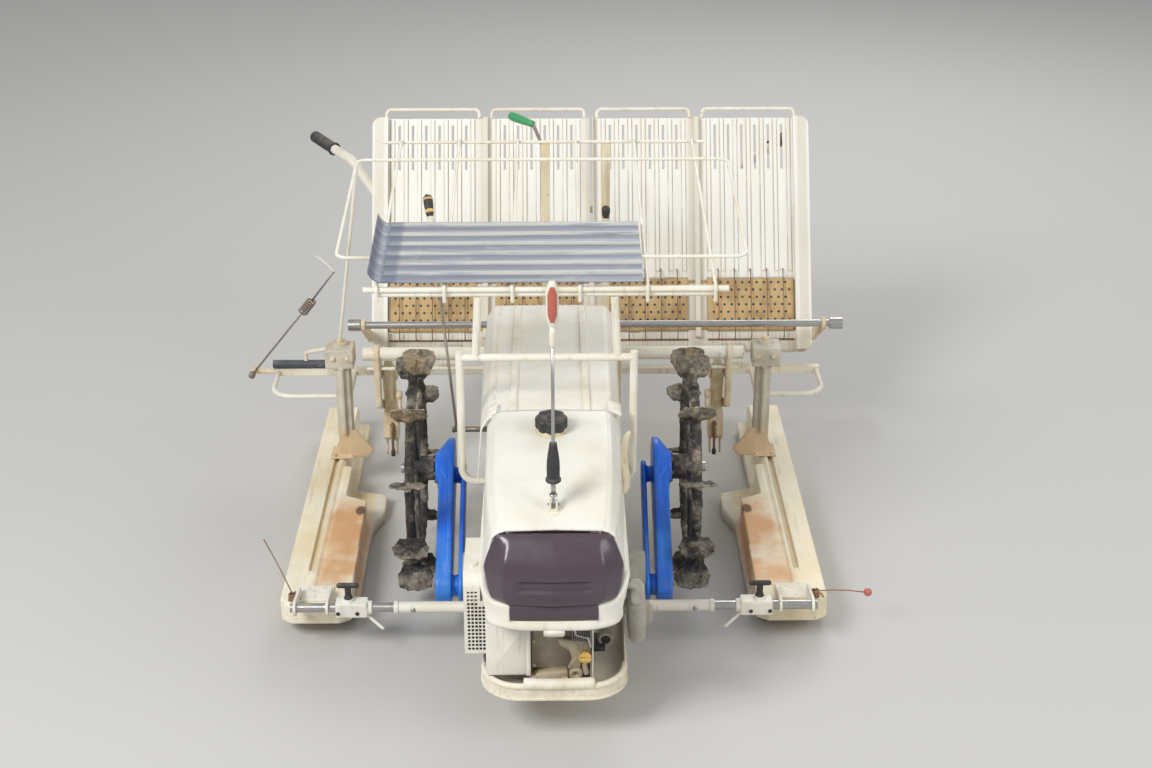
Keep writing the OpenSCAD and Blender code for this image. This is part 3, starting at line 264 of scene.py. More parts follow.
def caked_mud(name):
    """Black rubber under dried grey-brown mud, flaked off in places; more mud and ochre towards the top is
    painted light.
    """
    look = Look(name)
    out = (look.y ** 2.0 + (look.z - HUB_Z) ** 2.0) ** 0.5
    # The height term adds pale mud towards the top: painted light on the wheel's upper side.
    crust = look.noise(15, 7, 0.68) + out.step(0.246, 0.266) * 0.10 + look.z.scaled(-0.06, 0.05)
    crust = crust.step(0.43, 0.60)
    dry = look.blend(look.noise(40, 5).step(0.35, 0.68), (0.20, 0.175, 0.14), (0.40, 0.345, 0.265))
    # Ochre mud only high on the wheel: painted light on the lit upper lugs.
    ochre_on_lit_top = look.noise(11, 4).step(0.46, 0.60) * look.z.step(0.40, 0.55)
    dry = look.blend(ochre_on_lit_top * 0.7, dry, (0.46, 0.33, 0.18))
    look.colour = look.blend(crust, (0.028, 0.025, 0.022), dry)
    inputs = {"Vector": look.place, "Scale": 75}
    cracks = look.node("TexVoronoi", inputs, "Distance", feature="DISTANCE_TO_EDGE").step(0.05, 0.0)
    look.coat(cracks * crust * 0.55, (0.05, 0.042, 0.035))
    relief = crust * 1.1 + (look.noise(130, 5, 0.7) + cracks * -0.5)
    return look.finish(crust.scaled(0.55, 0.95), relief, 0.0022)


def bare_metal(name, clean, rust=0.4, rough=0.3, metal=0.95, edge=0.001):
    """Worn steel with rust blooms and a dull film."""
    look = Look(name)
    look.colour = look.blend(look.noise(35, 4), clean, shade(clean, 0.72))
    bound = 0.70 - 0.26 * rust
    bloom = look.noise(28, 7, 0.7).step(bound, bound + 0.10)
    look.coat(bloom, look.blend(look.noise(140, 4), RUST, RUST_PALE))
    dust = look.up(0.3, 1) * look.noise(50, 4).step(0.5, 0.7) * 0.5
    look.coat(dust, DUST)
    covered = bloom.most(dust)
    gloss = (look.noise(80, 4).scaled(-0.05, 0.12) + rough).most(covered * 0.8)
    relief = bloom * 0.8 + look.noise(240, 4) * 0.5
    return look.finish(gloss, relief, 0.0004, edge, (1.0 - covered) * metal)


def rough_casting(name, base, grime, rust=0.35, foot=None):
    """Painted casting with sand grain, oily grime and rust. foot is a stain low on it."""
    look = Look(name)
    look.colour = look.blend(look.noise(9, 6, 0.65).step(0.38, 0.64), base, grime)
    if foot:
        height = look.z + look.noise(15, 5).scaled(-0.06, 0.06)
        look.coat(height.step(0.22, 0.15) * 0.8, foot)
    spots = look.noise(45, 6, 0.75).step(0.66 - 0.14 * rust, 0.78 - 0.14 * rust)
    look.coat(spots * 0.85, look.blend(look.noise(120), RUST, RUST_PALE))
    look.coat(look.up(0.2, 1) * look.noise(20, 5).step(0.42, 0.66) * 0.6, DUST)
    relief = look.noise(330, 4, 0.7) + look.noise(40, 4) * 0.9
    return look.finish(look.noise(50).scaled(-0.1, 0.2) + 0.62, relief, 0.0007, 0.002)


def moulded(name, base, rough=0.45, dust=0.35, coat=0.0, edge=0.001, scratches=0.25):
    """Moulded plastic or rubber with a dusty bloom and fine scratches."""
    look = Look(name)
    look.colour = look.blend(look.noise(8, 4), base, tuple(min(1.0, 1.35 * c + 0.01) for c in base))
    film = look.up(0.0, 1.0) * look.noise(24, 6, 0.7).step(0.38, 0.72) * dust
    look.coat(film, shade(DUST, 0.8))
    scratch = look.streaks((30, 500, 120), 3, 0.5).step(0.66, 0.7)
    look.coat(scratch * scratches, (0.5, 0.47, 0.42))
    gloss = look.noise(40, 4).scaled(-0.05, 0.1) + rough + film * 0.4
    relief = look.noise(380, 2) * 0.3 + scratch * (-2 * scratches)
    return look.finish(gloss, relief, 0.0003, edge, 0.0, coat)


def table_plastic(name):
    """White plastic, sunned in patches. Painted shade and dirt by each rib, painted shade by the lane walls.
    """
    look = Look(name)
    look.colour = look.blend(look.noise(4, 5).step(0.42, 0.72), (0.87, 0.85, 0.78), (0.83, 0.79, 0.68))
    half = ROW_PITCH / 2
    lane = (look.x - (TABLE_MIDDLE + half) * MM).wrapped(half * MM)
    off_middle = abs(lane)
    # Tan lines along both sides of each rib: painted shade at the rib edges, and dirt.
    beside = abs(abs(lane.wrapped(0.019)) - 0.0058)
    line = beside.step(0.0022, 0.0006) * off_middle.step(0.125, 0.121)
    line = line * look.streaks((30, 6, 6), 4).step(0.30, 0.55)
    look.coat(line * 0.6, (0.50, 0.40, 0.27))
    # Darker band beside the lane walls: painted shade.
    look.coat(off_middle.step(0.132, 0.141) * 0.45, (0.60, 0.52, 0.38))
    look.coat(look.streaks((60, 3, 3), 5).step(0.52, 0.74) * 0.22, (0.55, 0.44, 0.29))
    look.coat(look.noise(70, 5, 0.7).step(0.66, 0.74) * 0.35, (0.45, 0.34, 0.22))
    low = (look.z + look.noise(20, 5).scaled(-0.05, 0.05)).step(0.40, 0.30)
    look.coat(low * 0.45, (0.52, 0.42, 0.27))
    relief = look.noise(300, 3) * 0.2 + look.noise(20, 4) * 0.5
    return look.finish(look.noise(30).scaled(-0.06, 0.12) + 0.48, relief, 0.0005, 0.0015)


def rubber_belt(name):
    """Tan ribbed feed belt, darker in its weave and stained along its run."""
    look = Look(name)
    look.colour = look.blend(look.noise(13, 5).step(0.38, 0.66), (0.60, 0.42, 0.20), (0.44, 0.29, 0.13))
    look.coat(look.noise(6, 6, 0.7).step(0.52, 0.70) * 0.6, (0.25, 0.17, 0.09))
    weave = look.streaks((900, 260, 260), 2, 0.5)
    return look.finish(look.noise(60).scaled(-0.08, 0.12) + 0.62, weave, 0.0004, 0.001)


SCOOP_FRONT = 0.262
SCOOP_RIB = 0.04803


def scoop_sheet(name):
    """Blue-grey ribbed sheet: painted highlights on the rib crests, painted shade in the hollows and flange.
    """
    look = Look(name)
    streaks = look.streaks((3.5, 170, 60), 5)
    look.colour = look.blend(streaks.step(0.36, 0.66), (0.25, 0.265, 0.31), (0.37, 0.385, 0.42))
    ribs = (look.y + SCOOP_FRONT) * (1 / SCOOP_RIB)
    rib = ribs.math("FRACT")
    broken = look.streaks((5, 90, 40), 5, 0.65).step(0.34, 0.52)
    # Painted highlight along each rib's crest, broken in places.
    look.coat(abs(rib - 0.80).step(0.15, 0.05) * broken * 0.85, (0.58, 0.57, 0.50))
    # Painted shade in the hollow before each crest.
    look.coat(abs(rib - 0.45).step(0.22, 0.10) * 0.45, (0.13, 0.15, 0.20))
    look.coat(look.noise(15, 6, 0.7).step(0.54, 0.72) * 0.5, (0.42, 0.41, 0.38))
    # Painted shade on the upturned left flange.
    look.coat(look.x.step(-0.338, -0.352) * 0.6, (0.12, 0.14, 0.20))
    rough = look.noise(40).scaled(-0.05, 0.2) + 0.40
    return look.finish(rough, streaks + look.noise(200), 0.0004, 0.0015, 0.15)


CREAM = worn_paint("cream paint", (0.84, 0.81, 0.71), (0.78, 0.72, 0.57), dust=0.35, low_dirt=0.2, mud=0.5)
TUBE_PAINT = (0.83, 0.80, 0.72), (0.78, 0.73, 0.60), 0.4, 0.25, 0.3, 0.05
TUBE_WHITE = worn_paint("white tube paint", *TUBE_PAINT)
# The fan cover's hole walls take painted shade.
FAN_WHITE = worn_paint("fan cover paint", *TUBE_PAINT, holes=(-0.189, -0.148, 0.198, 0.319))
HOOD_WHITE = worn_paint(
    "hood paint", (0.82, 0.80, 0.73), (0.78, 0.745, 0.64), 0.36, 0.18, 0.02, 0.2, 0.003, 0.3, 0.3,
)
SKIRT_WHITE = worn_paint(
    "skirt paint", (0.85, 0.82, 0.73), (0.80, 0.75, 0.62), 0.38, 0.2, 0.1, 0.46, 0.003, 0.3, 0.42,
    (0.56, 0.42, 0.24),
)
GUARD_CREAM = worn_paint(
    "guard paint", (0.84, 0.80, 0.69), (0.78, 0.71, 0.55), 0.42, 0.25, 0.35, 0.26, 0.002, 0.4, 0.55,
    (0.50, 0.36, 0.19),
)
YELLOWED = worn_paint("yellowed paint", (0.78, 0.70, 0.50), (0.66, 0.54, 0.34), 0.5, 0.6, 0.7, 0.3)
BLUE = worn_paint("blue paint", (0.012, 0.150, 0.78), (0.03, 0.22, 0.76), 0.34, 0.12, 0.45, 0.22, 0.002)
TABLE_WHITE = table_plastic("table plastic")
FLOAT = float_plastic("float plastic")
MUDDY = caked_mud("caked mud")
STEEL = bare_metal("bare steel", (0.56, 0.55, 0.53), 0.3)
RUSTY = bare_metal("rusty steel", (0.30, 0.22, 0.16), 0.95, 0.5, 0.6)
LEVER_STEEL = bare_metal("lever steel", (0.34, 0.29, 0.24), 0.6, 0.45, 0.7)
CASTING = rough_casting("planting casting", (0.82, 0.72, 0.53), (0.66, 0.51, 0.31), 0.25)
POST_GREY = rough_casting("post casting", (0.66, 0.62, 0.52), (0.50, 0.44, 0.33), 0.15, (0.74, 0.52, 0.29))
ENGINE = rough_casting("engine casting", (0.66, 0.58, 0.43), (0.46, 0.37, 0.24), 0.15)
# Darker copy of the engine casting for the recessed cover: painted shade in the recess.
RECESS_PAINTED_SHADE = rough_casting("shaded engine casting", (0.36, 0.32, 0.25), (0.24, 0.20, 0.15), 0.1)
# Grey engine block: painted shade for the shaded inside of the guard's tub.
ENGINE_SHADE = rough_casting("engine block", (0.33, 0.33, 0.33), (0.25, 0.24, 0.23), 0.05)
GREY_CASTING = rough_casting("grey casting", (0.50, 0.48, 0.42), (0.36, 0.33, 0.27), 0.15)
PLUM = moulded("dark nose plastic", (0.056, 0.036, 0.050), 0.3, 0.05, 0.3, 0.003, scratches=0.05)
BLACK = moulded("black plastic", (0.022, 0.022, 0.023), 0.42, 0.3)
BLACK_RUBBER = moulded("black rubber", (0.028, 0.028, 0.03), 0.6, 0.4)
FADED_RUBBER = moulded("faded rubber", (0.055, 0.062, 0.078), 0.55, 0.4)
GREEN = moulded("green grip", (0.035, 0.27, 0.10), 0.4, 0.2)
YELLOW = moulded("yellow cap", (0.72, 0.46, 0.12), 0.38, 0.3)
BELT = rubber_belt("feed belt")
SCOOP = scoop_sheet("scoop sheet")
REFLECTOR = moulded("red reflector", (0.42, 0.10, 0.07), 0.3, 0.25, 0.3)

NODE_LOOKS = {
    FLOAT: ["centre_float", "float_left", "float_right"],
    CREAM: [
        "frame_rails", "guard_hoop", "seedling_rack", "planting_beam", "table_rail", "rail_guards",
        "table_bails", "handlebar", "rack_stay", "pole_base", "side_grip", "float_brackets",
    ],
    TUBE_WHITE: ["front_bar", "clamp_left", "clamp_right"],
    FAN_WHITE: ["fan_cover"],
    GUARD_CREAM: ["engine_guard"],
    HOOD_WHITE: ["hood", "rear_cover"],
    SKIRT_WHITE: ["hood_skirt"],
    YELLOWED: ["rack_columns"],
    TABLE_WHITE: ["seedling_table"],
    BLUE: ["swing_case_left", "swing_case_right"],
    PLUM: ["nose_panel"],
    BLACK: ["fuel_cap", "clamp_knobs", "levers"],
    BLACK_RUBBER: ["hand_grips"],
    MUDDY: ["wheel_left", "wheel_right"],
    STEEL: ["bar_rods", "table_bar", "axle_left", "axle_right", "aiming_pole"],
    RUSTY: ["feeler_left", "feeler_right", "marker_arm"],
    CASTING: ["planting_arms", "planting_links", "bar_arms", "marker_bracket"],
    POST_GREY: ["planting_post_left", "planting_post_right"],
    ENGINE: ["engine_front"],
    ENGINE_SHADE: ["engine_block"],
    GREY_CASTING: ["transmission", "air_cleaner"],
    BELT: ["feed_belts"],
    SCOOP: ["scoop_plate"],
    YELLOW: ["oil_cap"],
}


def dress_nodes():
    for material, names in NODE_LOOKS.items():
        for name in names:
            data = nodes[name].data
            data.materials.clear()
            data.materials.append(material)
            for polygon in data.polygons:
                polygon.material_index = 0


# Making shapes

FRONT = (0, -1, 0)
UP = (0, 0, 1)


def vec(*point):
    """A point given in millimetres."""
    return Vector(point) * MM


def points(*places):
    return [vec(*place) for place in places]


def turns(count):
    """Angles that part a full turn evenly."""
    return [math.tau * k / count for k in range(count)]


def arc(a, b, radius, angles):
    """Points on a circle round (a, b)."""
    return [(a + radius * math.cos(turn), b + radius * math.sin(turn)) for turn in angles]


def round_about(axis):
    """Two directions, square to an axis and to each other."""
    side = axis.orthogonal().normalized()
    return side, axis.cross(side)


def corners(a, b):
    """The corners of a rectangle, from its half sizes."""
    return [(-a, -b), (a, -b), (a, b), (-a, b)]


def mirrored(side, *middle):
    """An outline from its left half, the points in its middle, and the left half mirrored."""
    return side + list(middle) + [(-x, z) for x, z in reversed(side)]


def add_piece(name, mesh, material, *replaced, body="chassis"):
    for polygon in mesh.polygons:
        polygon.use_smooth = True
    mesh.materials.clear()
    mesh.materials.append(material)
    piece = bpy.data.objects.new(name, mesh)
    bpy.context.scene.collection.objects.link(piece)
    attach(piece, body)
    if replaced:
        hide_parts(*replaced)


class Shape:
    """Parts of one piece, gathered. Points are in metres, and radii and sizes in millimetres."""

    def __init__(self):
        self.points, self.faces = [], []

    def grid(self, rows, solid=True):
        """Joins rows of equal length. In a solid each row is a ring, and the end rows are filled."""
        count = len(rows[0])
        last = (len(rows) - 1) * count
        faces = []
        for row in range(0, last, count):
            for i in range(count if solid else count - 1):
                a, b = row + i, row + (i + 1) % count
                faces.append([a, b, b + count, a + count])
        if solid:
            faces += [list(range(count))[::-1], list(range(last, last + count))]
        start = len(self.points)
        self.points += [Vector(point) for row in rows for point in row]
        self.faces += [[start + index for index in face] for face in faces]

    def tube(self, path, radius, sides=10):
        """A round tube along points. radius is a number, or one number a point."""
        radii = radius if isinstance(radius, list) else [radius] * len(path)
        rows = []
        side = None
        for i, point in enumerate(path):
            ahead = (path[min(i + 1, len(path) - 1)] - path[max(i - 1, 0)]).normalized()
            if side is None:
                side = ahead.orthogonal().normalized()
            side = (side - ahead * side.dot(ahead)).normalized()
            up = ahead.cross(side)
            rows.append([
                point + radii[i] * MM * (side * math.cos(turn) + up * math.sin(turn))
                for turn in turns(sides)
            ])
        self.grid(rows)

    def lathe(self, base, axis, profile, sides=24, lobes=0, lobe_depth=0.0):
        """Turns (radius, height) pairs round an axis through base. A third value asks for lobes."""
        axis = Vector(axis).normalized()
        side, up = round_about(axis)
        rows = []
        for radius, height, *lobed in profile:
            row = []
            for turn in turns(sides):
                wave = 1 - lobe_depth * (0.5 - 0.5 * math.cos(lobes * turn)) ** 2 if lobed else 1
                reach = side * math.cos(turn) + up * math.sin(turn)
                row.append(base + reach * (radius * MM) * wave + axis * (height * MM))
            rows.append(row)
        self.grid(rows)

    def bolt(self, at, facing, size):
        """A hexagon head with a washer under it."""
        self.lathe(at, facing, [(1.05 * size, -0.8), (1.05 * size, 1.2)], 16)
        self.lathe(at, facing, [
            (0.86 * size, 1), (0.86 * size, 0.82 * 0.6 * size), (0.70 * size, 0.6 * size),
        ], 6)

    def coil(self, start, end, rounds, radius, wire):
        """A coiled spring round the line from start to end."""
        axis = (end - start).normalized()
        side, up = round_about(axis)
        count = rounds * 14
        path = []
        for k in range(count + 1):
            turn = math.tau * rounds * k / count
            reach = radius * MM * (side * math.cos(turn) + up * math.sin(turn))
            path.append(start + (end - start) * (k / count) + reach)
        self.tube([start, *path, end], wire, 8)

    def block(self, outline, front, depth, soft):
        """A casting with an outline of (x, z) in mm, its front face at front and its edges rounded."""
        line = softened([vec(x, 0, z) for x, z in outline], soft, 2, closed=True)
        middle = middle_of(line)
        self.grid([
            [middle.lerp(point, shrink) + vec(0, front + back, 0) for point in line]
            for back, shrink in ((depth, 1), (soft, 1), (0.3 * soft, 0.985), (0, 0.95))
        ])

    def box(self, left, right, low, high, *rest):
        self.block([(left, low), (right, low), (right, high), (left, high)], *rest)

    def mesh(self, name):
        mesh = bpy.data.meshes.new(name)
        mesh.from_pydata(self.points, [], self.faces)
        mesh.update()
        work = bmesh.new()
        work.from_mesh(mesh)
        bmesh.ops.recalc_face_normals(work, faces=work.faces)
        work.to_mesh(mesh)
        work.free()
        return mesh

    def piece(self, name, material, *replaced, body="chassis"):
        add_piece(name, self.mesh(name), material, *replaced, body=body)


def softened(line, hold, times=3, closed=False):
    """Rounds the corners of a line of points, each within hold mm of its corner."""
    held = []
    for i, point in enumerate(line):
        if not closed and i in (0, len(line) - 1):
            held.append(point)
            continue
        before, after = (
            point + away * min(hold * MM / max(away.length, 1e-9), 0.45)
            for away in (line[i - 1] - point, line[(i + 1) % len(line)] - point)
        )
        held += [before, point, after]
    for _ in range(times):
        pairs = zip(held, held[1:] + held[:1] if closed else held[1:])
        cut = [point for a, b in pairs for point in (a * 0.75 + b * 0.25, a * 0.25 + b * 0.75)]
        held = cut if closed else [held[0], *cut, held[-1]]
    return held


def middle_of(line):
    return sum(line, Vector()) / len(line)


def between(table, place):
    """A row of numbers at a place, on smooth curves through a table sorted by its first column."""
    place = min(max(place, table[0][0]), table[-1][0])
    i = max(k for k in range(len(table) - 1) if table[k][0] <= place)
    before, a, b = table[max(i - 1, 0)], table[i], table[i + 1]
    after = table[min(i + 2, len(table) - 1)]
    span = b[0] - a[0]
    t = (place - a[0]) / span
    row = []
    for k in range(1, len(a)):
        slope_a = (b[k] - before[k]) / (b[0] - before[0]) * span
        slope_b = (after[k] - a[k]) / (after[0] - a[0]) * span
        row.append(
            (2 * t**3 - 3 * t**2 + 1) * a[k] + (t**3 - 2 * t**2 + t) * slope_a
            + (3 * t**2 - 2 * t**3) * b[k] + (t**3 - t**2) * slope_b
        )
    return row


def fade(value, low, high):
    """0 below low, 1 above high, smooth between."""
    t = min(1.0, max(0.0, (value - low) / (high - low)))
    return t * t * (3 - 2 * t)


def worked(mesh, *modifiers):
    """The mesh after modifiers, each given as (kind, settings)."""
    tool = bpy.data.objects.new("tool", mesh)
    bpy.context.scene.collection.objects.link(tool)
    for kind, settings in modifiers:
        modifier = tool.modifiers.new(kind, kind)
        for key, value in settings.items():
            setattr(modifier, key, value)
    graph = bpy.context.evaluated_depsgraph_get()
    out = bpy.data.meshes.new_from_object(tool.evaluated_get(graph))
    out.name = mesh.name
    bpy.data.objects.remove(tool)
    return out


def cast_copy(name, voxel, smoothing, *names):
    """A copy of CAD nodes with every edge rounded as on a casting. voxel is in millimetres."""
    work = bmesh.new()
    for node_name in names:
        copy = nodes[node_name].data.copy()
        copy.transform(nodes[node_name].matrix_world)
        work.from_mesh(copy)
        bpy.data.meshes.remove(copy)
    bmesh.ops.remove_doubles(work, verts=work.verts, dist=0.02 * MM)
    mesh = bpy.data.meshes.new(name)
    work.to_mesh(mesh)
    work.free()
    return worked(
        mesh,
        ("REMESH", {"mode": "VOXEL", "voxel_size": voxel * MM, "adaptivity": 0.0}),
        ("SMOOTH", {"factor": 0.5, "iterations": smoothing}),
    )


# Hood, nose, skirt and rear cover

# Columns of the table: place, height of the top, half width of the top, half width at the
# shoulder, drop to the shoulder, half width at the foot, height of the foot
HOOD = [
    (-738, 542, 111, 127, 12, 145, 466), (-690, 562, 116, 134, 22, 147, 458),
    (-610, 588, 122, 142, 30, 150, 450.6), (-470, 616, 126, 146, 34, 154, 450.6),
    (-338, 622, 126, 148, 34, 156, 450.6),
]
COVER = [
    (-337.4, 608, 138, 156, 30, 167, 438.5), (20, 588, 141, 160, 30, 171, 438.5),
    (420, 564, 145, 165, 30, 177, 438.5),
]
SHELL_T = 0.0036


def places_along(table, step):
    """Places from a table's first row to its last, about step apart."""
    first, last = table[0][0], table[-1][0]
    count = round((last - first) / step)
    return [first + (last - first) * i / count for i in range(count + 1)]


def shell_section(table, place, middle, crown, lid_lift):
    """Points across a cover from its left foot to its right foot, in metres."""
    top, half, shoulder, drop, foot_half, foot = between(table, place)
    side = [(-foot_half, foot), (-shoulder, top - drop), (-half, top)]
    line = softened([vec(x, place, z) for x, z in mirrored(side, (0, top + crown))], 17)
    for point in line:
        point.z += lid_lift * MM * (1 - fade(abs(point.x), (half - 9) * MM, (half - 6) * MM))
        point.x += middle * MM
    return line


def add_shell(name, replaced, table, step, middle, crown, lid_lift, seam_drop):
    """Sheet cover with an open seam along each side, under its shoulder."""
    places = places_along(table, step)
    sections = [shell_section(table, place, middle, crown, lid_lift) for place in places]
    halfway = (len(places) - 1) // 2
    top, _, _, drop, *_ = between(table, places[halfway])
    section = sections[halfway]
    cut = min(
        range(len(section) // 2), key=lambda k: abs(section[k].z / MM - (top - drop - seam_drop)),
    )
    shape = Shape()
    for part in (slice(cut + 1), slice(cut + 1, -cut - 1), slice(-cut - 1, None)):
        shape.grid([row[part] for row in sections], solid=False)
    sheet = worked(shape.mesh(name), ("SOLIDIFY", {"thickness": SHELL_T, "offset": -1.0}))
    add_piece(name, sheet, HOOD_WHITE, replaced)


def add_cover_ribs(table, step, middle, crown, ribs):
    """Pressed ribs along a cover, given as (place across, width, height)."""
    shape = Shape()
    places = places_along(table, step)
    for x, width, height in ribs:
        rows = []
        for place in places[1:-1]:
            lift = height * fade(min(place - places[0], places[-1] - place), 4, 22)
            base = between(table, place)[0] + crown * (1 - abs(x) / 140)
            outline = mirrored([(-width / 2 - 3, -0.6), (-width / 2, lift)])
            rows.append(softened([vec(x + middle + dx, place, base + dz) for dx, dz in outline], 3, 2))
        shape.grid(rows, solid=False)
    shape.piece("cover_ribs", CREAM)


def add_covers():
    add_shell("engine_hood", "hood", HOOD, 9, 0, 3, 2.4, 5)
    add_shell("long_rear_cover", "rear_cover", COVER, 12, -7, 2, 0, 4)
    add_cover_ribs(COVER, 12, -7, 2, [(-84, 15, 6.5), (82, 15, 6.5), (-128, 4, 2.5)])


# Columns of the table: height, place of the front, half width of the front, half width at the
# corner, drop back to the corner
NOSE = [
    (394.2, -791, 92, 124, 30), (404, -797, 98, 131, 33), (420, -800.5, 103, 136, 37),
    (445, -800.5, 106, 140.5, 42), (466, -797, 106, 144, 46), (470, -796, 105.5, 144, 47),
    (494, -789, 101, 136.5, 46), (520, -771, 95, 126, 30), (534, -758, 92, 119.5, 16),
    (541, -748, 90, 114, 8),
]
NOSE_BACK = -738.4
NOSE_LEVELS = 74
STEP_HALF, STEP_LOW = 91.5, 358.4


def add_nose():
    """Glossy dark nose: one domed moulding with a sunk band above its lip."""
    shape = Shape()
    rows = []
    for k in range(NOSE_LEVELS + 1):
        height = NOSE[0][0] + (NOSE[-1][0] - NOSE[0][0]) * k / NOSE_LEVELS
        front, half, corner, drop = between(NOSE, height)
        crown = 2.4 * fade(height, 494, 541)
        side = [(-corner, NOSE_BACK), (-corner, front + drop - 2), (-half, front + 6)]
        line = softened([vec(x, y, height) for x, y in mirrored(side, (0, front))], 9)
        sunk = fade(height, 431.5, 434) * (1 - fade(height, 451, 458))
        lip = fade(height, 420, 430) * (1 - fade(height, 431.5, 433.5))
        for point in line:
            point.z -= crown * (point.x / (114 * MM)) ** 2 * MM
            point.y += (7 * sunk - 2.0 * lip) * (1 - fade(abs(point.x) / MM, 72, 80)) * MM
        rows.append(line)
    shape.grid(rows)
    rows = []
    for height in (STEP_LOW, 361, 376, 396):
        front = -786 if height == STEP_LOW else -788
        outline = mirrored([(-STEP_HALF, -770), (-STEP_HALF, front + 2)], (0, front))
        rows.append(softened([vec(x, y, height) for x, y in outline], 3, 2))
    shape.grid(rows)
    shape.piece("domed_nose", PLUM, "nose_panel")


def skirt_path(step=7.0):
    """Points round the skirt from its left rear end over the nose to its right rear end."""
    half, corner, front, rear = 158, 60, -790, -353
    count = round((front + corner - rear) / -step)
    side = [(-half, rear + (front + corner - rear) * i / count) for i in range(count)]
    quarter = [math.radians(180 + 90 * i / 16) for i in range(17)]
    side += arc(corner - half, front + corner, corner, quarter)
    edges = [-98 + 5.4, -STEP_HALF - 0.9, -STEP_HALF - 0.6]
    face = [-STEP_HALF * (1 - i / 12) for i in range(1, 12)]
    return mirrored(side + [(x, front) for x in edges + face], (0, front))


RIM_DRAFT = 16
NOTCH_TOP = 356.5


def skirt_top_at(x, y):
    if y < -789 and abs(x) <= STEP_HALF + 0.7:
        return NOTCH_TOP
    table = [(-791, 397), (-780, 400), (-768, 414), (-752, 438), (-738, 448), (-352, 448)]
    return between(table, y)[0]


def add_skirt():
    """White skirt under the hood: rolled lower rim, rounded shoulder round the dark nose."""
    path = skirt_path()
    rows = []
    for i, (x, y) in enumerate(path):
        before, after = path[max(i - 1, 0)], path[min(i + 1, len(path) - 1)]
        ahead = Vector((after[0] - before[0], after[1] - before[1], 0)).normalized()
        inward = Vector((-ahead.y, ahead.x, 0))
        low = 334 + 26 * fade(y, -790, -354)
        top = skirt_top_at(x, y)
        if top == NOTCH_TOP:
            rise = [
                (-1, low + 15), (-0.4, top - 6), (0, top - 3), (0.8, top - 1), (2.5, top), (4.5, top),
                (5, top - 2), (5, top - 4),
            ]
        else:
            rise = [
                (0, low + 15), (0, top - 12), (0.6, top - 5), (3, top - 1), (9.6, top),
                (16, top + 0.5), (16, top - 3), (5, top - 6),
            ]
        rim = [(6, low + 1), (3, low), (-1.5, low + 1), (-3, low + 5), (-2.5, low + 11)]
        drawn_in = RIM_DRAFT * fade(-y, 540, 715) * (0.25 + 0.75 * fade(abs(x), 60, 125))
        rows.append([
            vec(x, y, z) + inward * (inset + drawn_in * (1 - fade(z, 335, 436))) * MM
            for inset, z in rim + rise + [(5, low + 12)]
        ])
    shape = Shape()
    shape.grid(rows)
    tab = mirrored([(-22, 336), (-22, 326), (-17, 322)])
    shape.grid([[vec(x, y, z) for x, z in tab] for y in (-791.5, -783)])
    shape.piece("nose_skirt", SKIRT_WHITE, "hood_skirt")


# Small pieces on the hood and nose


def add_fuel_cap():
    """Black fuel cap with eight finger hollows, on its yellowed neck."""
    base = vec(-4, -434, 615.5)
    axis = Vector((0, -0.05, 1))
    neck = Shape()
    neck.lathe(base, axis, [(36, 0), (39.5, 2), (39.5, 6), (36, 8), (31, 9), (31, 16)], 40)
    neck.piece("fuel_neck", YELLOWED)
    cap = Shape()
    base = base + axis * 0.006
    cap.lathe(base, axis, [
        (26, 9), (34.2, 10, 1), (35.5, 13, 1), (35.5, 31, 1), (33.5, 35.5, 1),
        (28, 37.5), (20, 38), (18.5, 36.5), (6, 36.5),
    ], 96, 8, 0.13)
    cap.lathe(base + axis * 0.036, axis, [(7, 0), (7, 2.5), (5, 3.6)], 20)
    cap.piece("lobed_fuel_cap", BLACK, "fuel_cap")


POLE_Y = -690.0
POLE_PIN_Z = 579.85
PADDLE_LOW = 972


def add_pole():
    """Folding aiming pole: rod with a ribbed black boot and a white paddle with a red face."""
    rod = Shape()
    for radius, *levels in (
        (3.6, POLE_PIN_Z + 4, 640, 800, 968), (5.2, POLE_PIN_Z + 22, 640), (8.5, 600, 604),
    ):
        rod.tube([vec(0, POLE_Y, z) for z in levels], radius, 14)
    rod.grid([
        [vec(x, POLE_Y + y, z) for x, y in corners(3.6, 4.4)] for z in (POLE_PIN_Z - 4, POLE_PIN_Z + 22)
    ])
    rod.tube([vec(x, POLE_Y, POLE_PIN_Z) for x in (-12.5, 12.5)], 2.5)
    rod.bolt(vec(11.5, POLE_Y, POLE_PIN_Z), (1, 0, 0), 4.2)
    rod.piece("pole_rod", STEEL, "aiming_pole", body="pole")
    boot = Shape()
    boot.lathe(vec(0, POLE_Y, 634), UP, [
        (6.5, 0), (15, 0), (16.3, 1.5), (16.3, 5.5), (15, 7), (13.7, 9), (13.5, 12), (13.8, 30),
        (13, 48), (10.8, 66), (8.8, 78), (8, 86), (7.2, 88), (4.5, 88.5),
    ], 28)
    boot.piece("pole_boot", BLACK_RUBBER, body="pole")
    side = [(-4, -14), (-5, 2), (-12.5, 24), (-13, 82), (-6, 103)]
    outline = softened([vec(x, 0, PADDLE_LOW + z) for x, z in mirrored(side)], 14)
    board = Shape()
    board.grid([
        [Vector((p.x, POLE_Y * MM + y * MM, p.z)) for p in outline] for y in (-2.2, -1.6, 1.6, 2.2)
    ])
    board.lathe(vec(0, POLE_Y, 936), UP, [(5.8, 0), (6.4, 2), (6.2, 30), (5.2, 40)], 16)
    board.piece("pole_paddle", CREAM, body="pole")
    middle = vec(0, 0, PADDLE_LOW + 52).z
    face = Shape()
    for rims in (((-2.2, 1), (-3.4, 0.93)), ((2.2, 1), (3.4, 0.93))):
        face.grid([
            [
                Vector((p.x * 0.74 * shrink, (POLE_Y + y) * MM, middle + (p.z - middle) * 0.76 * shrink))
                for p in outline if p.z > (PADDLE_LOW + 2) * MM
            ]
            for y, shrink in rims
        ])
    face.piece("pole_reflector", REFLECTOR, body="pole")


# Handles and levers


